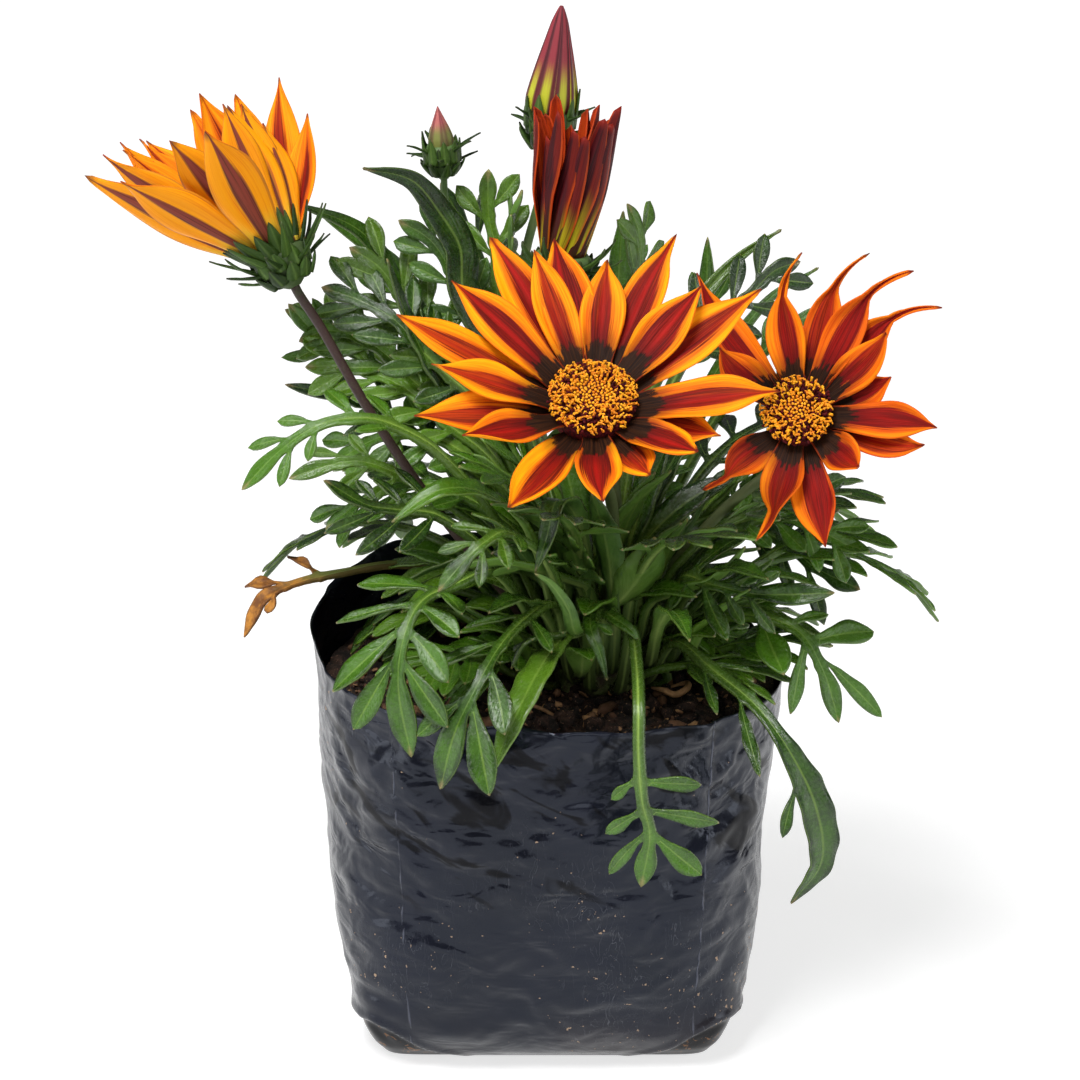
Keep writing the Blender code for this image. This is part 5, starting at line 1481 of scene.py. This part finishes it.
budTraits = {
    "levels": 48,
    "perWrap": 10,  # points across each furled petal
    "foot": 0.3,
}


def makeBud(node, bud, paint):
    # furled petals: each wraps over the next one, with its edge standing proud
    matrix = bloomFrame(bud["centre"], bud["axis"])
    growth = Growth()
    levels, perWrap, foot = budTraits["levels"], budTraits["perWrap"], budTraits["foot"]
    top = bud["length"]
    rows = []
    for level in range(levels + 1):
        share = level / levels
        height = foot + (top - foot) * share
        reach = readCurve(bud["outline"], height)
        row = []
        for wrap in range(bud["wraps"]):
            for step in range(perWrap):
                part = step / (perWrap - 1)
                angle = math.tau * (wrap + part * 0.999) / bud["wraps"] + bud["wind"] * height
                proud = reach * (0.93 + 0.13 * (1 - part) ** 1.5) + 0.05 * math.sin(3 * math.pi * part)
                row.append(growth.point(matrix @ around(angle, proud, height), part, share))
        rows.append(row)
    ends = [growth.point(matrix @ Vector((0, 0, height)), 0.5, height / top) for height in (foot, top)]
    start, end = [[point] * len(row) for point in ends]
    growth.skin([start, *rows, end], True)
    growth.piece(pieceName(node), [paint], node, "bud_pink")


def makeBlooms():
    under = petalUnderPaint("petalUnder", underLooks)
    closing = petalUnderPaint("petalClosing", closingLooks)
    closingTop = petalTopPaint("petalClosingTop", closingTopLooks)
    yellow, dark = floretPaint(), floretBasePaint()
    green = stalkPaint("stalkGreen", tint(92, 106, 62), tint(84, 112, 58), 0.8)
    purple = stalkPaint("stalkPurple", tint(50, 28, 26), tint(64, 84, 44), 1.06, tint(26, 12, 12))
    bracts = bractPaint()
    for name, bloom, stem, slot in (
        ("front", frontBloom, green, "stalk_green"),
        ("right", rightBloom, green, "stalk_green"),
        ("left", leftBloom, purple, "stalk_purple"),
    ):
        top = petalTopPaint("petalTop" + name.title(), bloom["looks"])
        makePetals(f"bloom_{name}_petals", bloom, top, under, "petal_orange")
        makeFlorets(f"bloom_{name}_florets", bloom, yellow, dark)
        makeStalk(f"bloom_{name}_stalk", bloom, stem, bracts, slot)
    # a closing bloom shows the petals' outsides, which face away from its axis
    makePetals("bloom_closing_petals", closingBloom, closingTop, closing, "petal_closing")
    makeStalk("bloom_closing_stalk", closingBloom, green, bracts, "stalk_green")
    pink = budPaint("budPink", {
        "middle": tint(132, 40, 50), "edge": tint(70, 10, 22), "lowMiddle": tint(178, 180, 36),
        "lowEdge": tint(88, 24, 26),
        "green": 0.3,
    })
    pale = budPaint("budPale", {
        "middle": tint(176, 96, 92), "edge": tint(128, 54, 60), "lowMiddle": tint(120, 124, 60),
        "lowEdge": tint(96, 84, 48),
        "green": 0.45,
    })
    for name, bud, paint in (("bud_tall", tallBud, pink), ("bud_small", smallBud, pale)):
        makeStalk(name + "_stalk", bud, green, bracts, "stalk_green")
        makeBud(name + "_petals", bud, paint)
    print("blooms: 4, buds: 2")


makeBlooms()


# Bag, soil and crown

bagTraits = {
    # (height, half width, half depth, squareness: 2 is round)
    "levels": [
        (0.0, 43.5, 38.0, 14.0), (4.0, 47.5, 43.0, 9.0), (12.0, 51.5, 48.5, 5.0), (30.0, 55.0, 53.5, 3.4),
        (52.0, 57.5, 56.5, 2.6), (76.0, 59.5, 58.5, 2.2), (102.0, 60.5, 59.0, 2.0),
    ],
    "rim": [93.0, 100.0, 108.0, 112.0, 106.0, 101.0, 101.0, 97.0],
    "sides": 360,
    "rows": 96,
    "sheet": 0.35,
    "wrinkle": 0.9,
    "dent": 1.0,
    "crinkle": 0.08,
    "lip": 0.5,  # how far the rim turns outward
    "foot": [0.2, 0.36, 0.52, 0.68, 0.84],  # shares of the base's radius with a ring of points
    "creases": [-38.5, 0.5, 41.5],
    # (distance from the middle, height) of the lip of a folded corner
    "pocket": [(16, -4), (22, 0), (28, 3), (32, 5.2), (39, 10.8), (44, 12.4), (48, 11.8), (52, 10)],
}


def bagShape(height):
    levels = bagTraits["levels"]
    places = [level[0] for level in levels]
    return [readCurve(list(zip(places, [level[part] for level in levels])), height) for part in (1, 2, 3)]


def bagWall(angle, height, inset):
    halfX, halfY, square = bagShape(height)
    across = abs(math.cos(angle) / halfX) ** square
    deep = abs(math.sin(angle) / halfY) ** square
    fade = min(1.0, height / 25)
    dents = math.sin(3 * angle + height * 0.09) + 0.7 * math.sin(7 * angle - height * 0.13 + 1.0)
    reach = (across + deep) ** (-1 / square) + bagTraits["wrinkle"] * 0.5 * fade * dents - inset
    return around(angle, reach, height)


def bagDent(spot, angle, height):
    # soft dents, then crinkles that lie mostly level, with sharp crests
    east, north = math.cos(angle), math.sin(angle)
    fade = ease(height, 0, 12)
    gain = bagTraits["dent"] * (0.7 + 0.5 * ease(height, 30, 80) + 0.3 * ease(spot.x, 5, 50))
    soft = noise.noise(Vector((east * 2.3, north * 2.3, height / 14 + spot.x * 0.01)))
    warp = noise.noise(Vector((east * 3, north * 3, height / 18 + 9)))
    fold = noise.noise(Vector((east * 4.2 + warp, north * 4.2, height / 6.5 + warp * 1.5 + spot.x * 0.04)))
    ripple = noise.noise(Vector((east * 8 + warp * 2, north * 8, height / 3.6 + warp * 3 - spot.x * 0.06)))
    ridge = noise.noise(Vector((east * 4.6, north * 4.6 + warp, height / 8 - spot.x * 0.02 + 5)))
    crest = max(0.0, 1 - abs(ridge) * 3.2)
    fine = noise.noise(Vector((east * 14, north * 14, height / 2.4)))
    edge = 1 - 0.6 * ease(abs(east), 0.75, 0.98)  # smoother towards the left and right outline
    dents = gain * edge * (soft + 1.2 * fold + 0.45 * ripple + 0.3 * crest * crest)
    return fade * (dents + bagTraits["crinkle"] * fine)


def creaseGap(spot, height):
    # how far a place in front lies from the nearest upright crease
    if spot.y > 0:
        return 9.0
    return min(abs(spot.x - crease * (1 - 0.0012 * (90 - height))) for crease in bagTraits["creases"])


def pocket(spot, height):
    # the folded corners at the base: below a slanting lip the film is tucked in
    side = abs(spot.x)
    share = ease(-spot.y, 12, 34) * ease(side, 16, 24)
    line = readCurve(bagTraits["pocket"], side)
    tuck = 1.2 * ease(line - height, 0, 1.2) * ease(height, -2, 3)
    return share * (tuck - 0.8 * math.exp(-((height - line - 0.9) / 1.1) ** 2))


def makeBag():
    traits = bagTraits
    sides, count = traits["sides"], traits["rows"]
    growth = Growth()
    rows = []
    for row in range(count + 1):
        share = (row / count) ** 1.15
        line = []
        for index in range(sides):
            angle = math.tau * index / sides
            rim = readRound(traits["rim"], angle)
            rim += 0.8 * noise.noise(around(angle, 4, 3)) + 0.35 * math.sin(17 * angle)
            height = rim * share
            spot = bagWall(angle, height, 0.0)
            flat = Vector((spot.x, spot.y, 0)).normalized()
            lip = traits["lip"] * ease(share, 0.97, 1.0)
            spot += flat * (bagDent(spot, angle, height) - pocket(spot, height) + lip)
            marks = (height, creaseGap(spot, height), pocket(spot, height))
            line.append(growth.point(spot, abs(2 * index / sides - 1), share, marks))
        rows.append(line)
    edge = [growth.points[index] for index in rows[0]]
    foot = []
    for scale in traits["foot"]:
        foot.append([growth.point(Vector((spot.x * scale, spot.y * scale, 0))) for spot in edge])
    growth.skin([growth.cap(sides, Vector((0, 0, 0)))] + foot + rows, True)
    growth.piece("bagFilm", [bagPaint()], "bag", "bag_film", traits["sheet"])


def bagPaint():
    paint = Paint("bagFilm", Specular_IOR_Level=0.34, Specular_Tint=(0.76, 0.84, 1.0, 1.0))
    height, crease, tuck = paint.marks("marks")
    place = paint.place()
    broad = paint.cloud(place, 40, 3, 0.55)
    crinkle = paint.cloud(paint.stretched(place, (1.0, 1.0, 2.0)), 68, 2, 0.5, 0.7)
    fine = paint.cloud(place, 700, 3, 0.6)
    dust = paint.cloud(place, 520, 2, 0.7)
    patch = paint.cloud(place, 28, 2)
    low = paint.ease(height, 70, 5)
    specks = paint.ease(dust + (patch - 0.5) * 0.35 + low * 0.03, 0.73, 0.77)
    threads = paint.cloud(paint.stretched(place, (260.0, 260.0, 90.0)), 1, 2, 0.5, 1.6)
    hair = paint.ease(abs(threads - 0.5), 0.007, 0.0) * paint.ease(patch, 0.5, 0.62)
    scraps = paint.ease(tuck, 0.6, 0.9) * paint.ease(paint.cloud(place, 380, 2, 0.6, 1.0), 0.6, 0.65)
    line = paint.ease(crease + (fine - 0.5) * 0.2, 0.42, 0.12) * paint.ease(patch, 0.25, 0.5)
    turn = {"Vector": place, "Rotation": (0, 0.5, 0), "Scale": (2.4, 2.4, 1)}
    slant = paint.node("ShaderNodeMapping", {"vector_type": "TEXTURE"}, turn)
    # soft dark patches up the upper film, painted shade that the dark shader below lays on
    black = paint.ease(paint.cloud(slant, 120, 3, 0.55, 0.8), 0.52, 0.66) * paint.ease(height, 34, 66)
    colour = paint.mix(broad, tint(8, 9, 14), tint(20, 22, 34))
    soiled = paint.ease(height, 24, 2) * paint.ease(patch, 0.35, 0.7)
    colour = paint.mix(soiled * 0.25, colour, tint(84, 72, 62))
    colour = paint.mix(hair * 0.3, colour, tint(120, 122, 128))
    colour = paint.mix(line * 0.3, colour, tint(120, 124, 140))
    colour = paint.mix(specks * 0.8, colour, tint(168, 142, 116))
    rough = 0.23 + (broad - 0.5) * 0.18 + (fine - 0.5) * 0.1 + specks * 0.4
    relief = crinkle * (paint.ease(height, 12, 60) * 0.6 + 0.4) + fine * 0.04 + broad * 0.5 + line * 0.12
    paint.finish(colour, rough, relief, 0.75, 2.2)
    # painted shade: a dark, dull shader is laid over the film inside the folded corners and over soft dark
    # patches up its upper part, with scraps of soil in the corners
    folded = paint.mix(scraps * 0.9, tint(7, 7, 10), tint(112, 78, 48))
    shade = paint.ease(tuck + black * 0.8, 0.1, 0.8) * 0.88
    paint.blend(shade, {"Base Color": folded, "Specular IOR Level": 0.1, "Roughness": 0.2})
    return paint


soilTraits = {
    "top": 91.0,
    "heap": 1.5,  # how much higher it lies at the left
    "swell": 0.65,
    "sides": 180,
    "rings": 46,
    "levels": [1.4, 4, 12, 30, 52, 76],  # heights of the rings of points below its top
    "rim": 88,  # the height at which the bag bounds its top
    "gap": 1.5,  # between its top's edge and the bag
    "bed": 4.0,  # between its sides and the bag
    "crumbs": 1500,
    "crumb": (0.45, 2.1),  # least size of a crumb, and what the largest has more
    "chips": 260,
    "chip": (0.5, 1.1),
    "seed": 3,
}


def soilHeight(x, y):
    heap = soilTraits["heap"] * ease(-x, 30, 52)
    swell = math.sin(x * 0.31 + y * 0.17) + math.sin(y * 0.37 - x * 0.11 + 2.0)
    reach = math.hypot(x - crown["place"].x, y - crown["place"].y)
    away = min(1.0, max(0.0, (reach - crown["radius"] - 2) / 12))
    return soilTraits["top"] + away * (heap + soilTraits["swell"] * swell)


def soilSpot(chance, share):
    # a place drawn on the soil, within that share of its reach
    angle, away = chance.uniform(0, math.tau), math.sqrt(chance.random()) * share
    edge = bagWall(angle, soilTraits["rim"], soilTraits["gap"] + 1)
    return edge.x * away, edge.y * away


def soilPaint():
    paint = Paint("soil", Specular_IOR_Level=0.25)
    place = paint.place()
    clump = paint.cloud(place, 260, 4, 0.7)
    grain = paint.cloud(place, 1500, 3, 0.7)
    colour = paint.mix(paint.ease(clump, 0.4, 0.7), tint(16, 12, 10), tint(62, 44, 35))
    colour = paint.mix(paint.ease(grain, 0.61, 0.68) * 0.8, colour, tint(150, 116, 92))
    return paint.finish(colour, 0.9 + (grain - 0.5) * 0.3, clump + grain * 0.6, 0.9, 1.2)


def chipPaint():
    paint = Paint("chip", Specular_IOR_Level=0.25)
    grain = paint.cloud(paint.place(), 900, 3, 0.6)
    colour = paint.mix(paint.marks("own")[0], tint(70, 46, 34), tint(168, 128, 88))
    colour = paint.mix((grain - 0.3) * 0.9, colour, tint(54, 36, 28))
    return paint.finish(colour, 0.8 + (grain - 0.5) * 0.3, grain, 0.7, 0.6)


def lump(growth, centre, size, chance, flatness=1.0, paint=0, own=(0, 0, 0)):
    # a rough crumb: a ball of few faces, dented and stretched
    spin = Matrix.Rotation(chance.uniform(0, 6.28), 3, anyWay(chance).normalized())
    sizes = chance.uniform(0.7, 1.3), chance.uniform(0.7, 1.2), flatness * chance.uniform(0.7, 1.1)
    stretch = Vector(sizes)
    shift = chance.uniform(0, 99)
    sides, rings = 8, 5
    rows = []
    for ring in range(rings + 1):
        tall = math.pi * ring / rings
        row = []
        for index in range(1 if ring in (0, rings) else sides):
            ball = around(math.tau * index / sides, math.sin(tall), -math.cos(tall))
            dent = 1 + 0.45 * noise.noise(ball * 1.6 + Vector((shift, 0, 0)))
            spot = spin @ Vector([ball[axis] * stretch[axis] * size * dent for axis in range(3)])
            row.append(growth.point(centre + spot, 0.5, 0.5, (0, 0, 0), own))
        rows.append(row * sides if len(row) == 1 else row)
    growth.skin(rows, True, paint)


def makeSoil():
    traits = soilTraits
    sides, rings = traits["sides"], traits["rings"]
    chance = random.Random(traits["seed"])
    growth = Growth()

    def topSpot(angle, share):
        edge = bagWall(angle, traits["rim"], traits["gap"])
        x, y = edge.x * share, edge.y * share
        rough = 1.4 * noise.noise(Vector((x, y, 0)) * 0.14) + 0.9 * noise.noise(Vector((x, y, 7)) * 0.42)
        rough += 0.4 * noise.noise(Vector((x, y, 3)) * 1.1)
        return Vector((x, y, soilHeight(x, y) + rough - 0.5 * ease(share, 0.9, 1.0)))

    rows = [growth.cap(sides, upward * traits["levels"][0])]
    for height in traits["levels"]:
        rows.append(growth.ring(sides, lambda angle: bagWall(angle, height, traits["bed"])))
    for ring in range(rings):
        rows.append(growth.ring(sides, lambda angle: topSpot(angle, 1 - ring / rings)))
    rows.append(growth.cap(sides, Vector((0, 0, soilHeight(0, 0)))))
    growth.skin(rows, True)
    for index in range(traits["crumbs"]):
        x, y = soilSpot(chance, 0.95)
        size = traits["crumb"][0] + traits["crumb"][1] * chance.random() ** 4
        own = (chance.random() * 0.4, 0, 0)
        # more crumbs take the paler chip paint towards the left: partly the pale crumbs that lie there,
        # partly painted light that lifts soil lying in the bag's shade
        pale = int(chance.random() < 0.2 + 0.35 * ease(-x, 20, 45))
        lump(growth, Vector((x, y, soilHeight(x, y) + 0.3 + size * 0.35)), size, chance, 0.8, pale, own)
    for index in range(traits["chips"]):
        x, y = soilSpot(chance, 0.93)
        size = traits["chip"][0] + traits["chip"][1] * chance.random() ** 2
        own = (chance.uniform(0.3, 1), 0, 0)
        lump(growth, Vector((x, y, soilHeight(x, y) + 1.1)), size, chance, 0.35, 1, own)
    # a twig along the front edge, and a curled scrap of bark right of the middle
    twig = [(-6, -24, 93.4), (-1, -29, 93.9), (4, -36, 93.6)]
    scrap = [(27, -15, 94), (30, -19, 95), (33, -21, 94.6), (36, -19, 95.6), (36, -14, 95), (32, -14, 93.8)]
    for spots, steps, tone, radius in (
        (twig, 4, 0.5, lambda along: 0.5),
        (scrap, 5, 1.2, lambda along: 0.3 + 0.6 * math.sin(math.pi * along)),
    ):
        tube(growth, smoothPath([Vector(spot) for spot in spots], steps), radius, 7, (tone, 0, 0), 1)
    growth.piece("soilBed", [soilPaint(), chipPaint()], "soil", "potting_soil")
    print("soil, crumbs:", traits["crumbs"], "chips:", traits["chips"])


crownTraits = {
    # (how many, first azimuth, last azimuth, slot height, length)
    "young": [(5, -160, -25, 38, 40), (5, -140, -40, 58, 50), (4, 20, 150, 45, 42)],
    "youngWidth": 7.0,
    "sides": 40,
    "rings": 14,
    # (height, radius) of the root stub and the neck above it
    "root": [(-20.4, 6.4), (-4, 8), (0, 12.5)],
    "depth": 34,
}


def crownPaint():
    paint = Paint("crownGreen", Specular_IOR_Level=0.35)
    place = paint.place()
    lumps = paint.cloud(place, 300, 4, 0.6)
    grain = paint.cloud(place, 1600, 2)
    colour = paint.mix(paint.ease(lumps, 0.35, 0.65), tint(58, 48, 30), tint(96, 112, 58))
    colour = paint.mix((grain - 0.3) * 0.5, colour, tint(44, 34, 24))
    return paint.finish(colour, 0.7 + (grain - 0.5) * 0.3, lumps + grain * 0.4, 0.8, 1.0)


def makeCrown():
    growth = Growth()
    traits, middle, radius = crownTraits, crown["place"], crown["radius"]
    sides, rings = traits["sides"], traits["rings"]

    def domeSpot(angle, rise):
        ball = around(angle, math.cos(rise), math.sin(rise))
        bumps = 1 + 0.1 * noise.noise(ball * 3.2) + 0.05 * math.cos(11 * angle) * math.cos(rise)
        return middle + ball * radius * 0.98 * bumps

    rows = [growth.cap(sides, middle - upward * traits["depth"])]
    for height, reach in traits["root"]:
        rows.append(growth.ring(sides, lambda angle: middle + around(angle, reach, height)))
    for ring in range(rings):
        rows.append(growth.ring(sides, lambda angle: domeSpot(angle, math.radians(90 * ring / rings))))
    rows.append(growth.cap(sides, middle + upward * radius))
    growth.skin(rows, True)
    growth.piece("crownHeart", [crownPaint()], "crown", "crown_green")
    tree = nodeTree("crown")
    chance = random.Random(11)
    growth = Growth()
    grown = 0
    for count, first, last, lift, length in traits["young"]:
        for index, azimuth in enumerate(spread(count, first, last)):
            size = length * chance.uniform(0.85, 1.15)
            shape = fillerLeaf(azimuth, lift, size, 80, 30, chance)
            shape["path"][0] *= (radius - 1.5) / shape["path"][0].length
            shape |= {"lobes": [], "tip": traits["youngWidth"] * chance.uniform(0.8, 1.2), "tipStart": 0.45}
            matrix = settledPlace(shape, tree)
            if matrix is not None:
                growLeaf(growth, shape, matrix, random.Random(index * 7 + count + lift))
                grown += 1
    if grown:
        leafPiece(growth, "youngLeaves")
    print("crown, young leaves:", grown)


makeBag()
makeSoil()
makeCrown()


# Floor, lights and camera

studio = {
    "target": Vector((-1.7, 0, 129)),
    "distance": 850,
    "elevation": 20,
    "lens": 109.83,
    "sky": 0.16,
    "floor": (6, -0.0004),  # half its side and its level in metres
    "wall": (64, 5.9, 6),  # sides, radius and height in metres
    # (name, place in metres, width, height, power)
    "lights": [
        ("key", (-0.3, -0.45, 1.2), 0.45, 0.5, 17.0),
        ("rightSide", (0.95, -0.35, 0.35), 0.35, 1.0, 3.6),
        ("leftSide", (-0.95, -0.25, 0.35), 0.35, 1.0, 3.6),
        ("front", (0.3, -1.3, 0.8), 0.9, 0.5, 3.2),
    ],
}


def makeStudio():
    floor = bpy.data.meshes.new("floor")
    half, level = studio["floor"]
    corners = [(x * half, y * half, level) for x, y in ((-1, -1), (1, -1), (1, 1), (-1, 1))]
    floor.from_pydata(corners, [], [(0, 1, 2, 3)])
    paint = Paint("floorPale", Roughness=0.9, Emission_Strength=0.96)
    grain = paint.cloud(paint.place(), 300, 2)
    paint.feed("Base Color", paint.mix(grain, (0.46, 0.46, 0.46, 1), (0.48, 0.48, 0.48, 1)))
    away = paint.node("ShaderNodeVectorMath", {"operation": "LENGTH"}, {0: paint.place()}, "Value")
    glow = paint.mix(paint.ease(away, 0.4, 1.4), (0.71, 0.71, 0.71, 1), (1, 1, 1, 1))
    paint.feed("Emission Color", glow)
    floor.materials.append(paint.material)
    ground = addObject("floor", floor)
    # a round wall far behind the floor, seen by the camera alone
    sides, reach, top = studio["wall"]
    angles = [math.tau * index / sides for index in range(sides)]
    wall = bpy.data.meshes.new("wall")
    spots = [(reach * math.cos(angle), reach * math.sin(angle)) for angle in angles]
    corners = [(x, y, height) for height in (0, top) for x, y in spots]
    pairs = [(index, (index + 1) % sides) for index in range(sides)]
    wall.from_pydata(corners, [], [(one, other, sides + other, sides + one) for one, other in pairs])
    wall.materials.append(paint.material)
    backdrop = addObject("wall", wall)
    backdrop.visible_diffuse = backdrop.visible_glossy = backdrop.visible_shadow = False
    world = bpy.data.worlds.new("studio")
    world.use_nodes = True
    sky = world.node_tree.nodes["Background"].inputs
    sky["Color"].default_value = (1, 1, 1, 1)
    sky["Strength"].default_value = studio["sky"]
    bpy.context.scene.world = world
    for name, place, wide, tall, power in studio["lights"]:
        light = bpy.data.lights.new(name, "AREA")
        light.shape = "RECTANGLE"
        light.size, light.size_y = wide, tall
        light.energy = power
        lamp = addObject(name, light)
        lamp.location = place
        lamp.rotation_euler = (Vector((0, 0, 0.12)) - Vector(place)).to_track_quat("-Z", "Y").to_euler()
    lens = bpy.data.cameras.new("camera")
    lens.lens = studio["lens"]
    lens.sensor_width = 36
    lens.clip_start, lens.clip_end = 0.05, 20
    tilt = math.radians(studio["elevation"])
    camera = addObject("camera", lens)
    toward = Vector((0, -math.cos(tilt), math.sin(tilt)))
    camera.location = (studio["target"] + toward * studio["distance"]) * mm
    camera.rotation_euler = (math.pi / 2 - tilt, 0, 0)
    bpy.context.scene.camera = camera
    bpy.context.scene.view_settings.view_transform = "Standard"
    print("floor, lights and camera")


makeStudio()
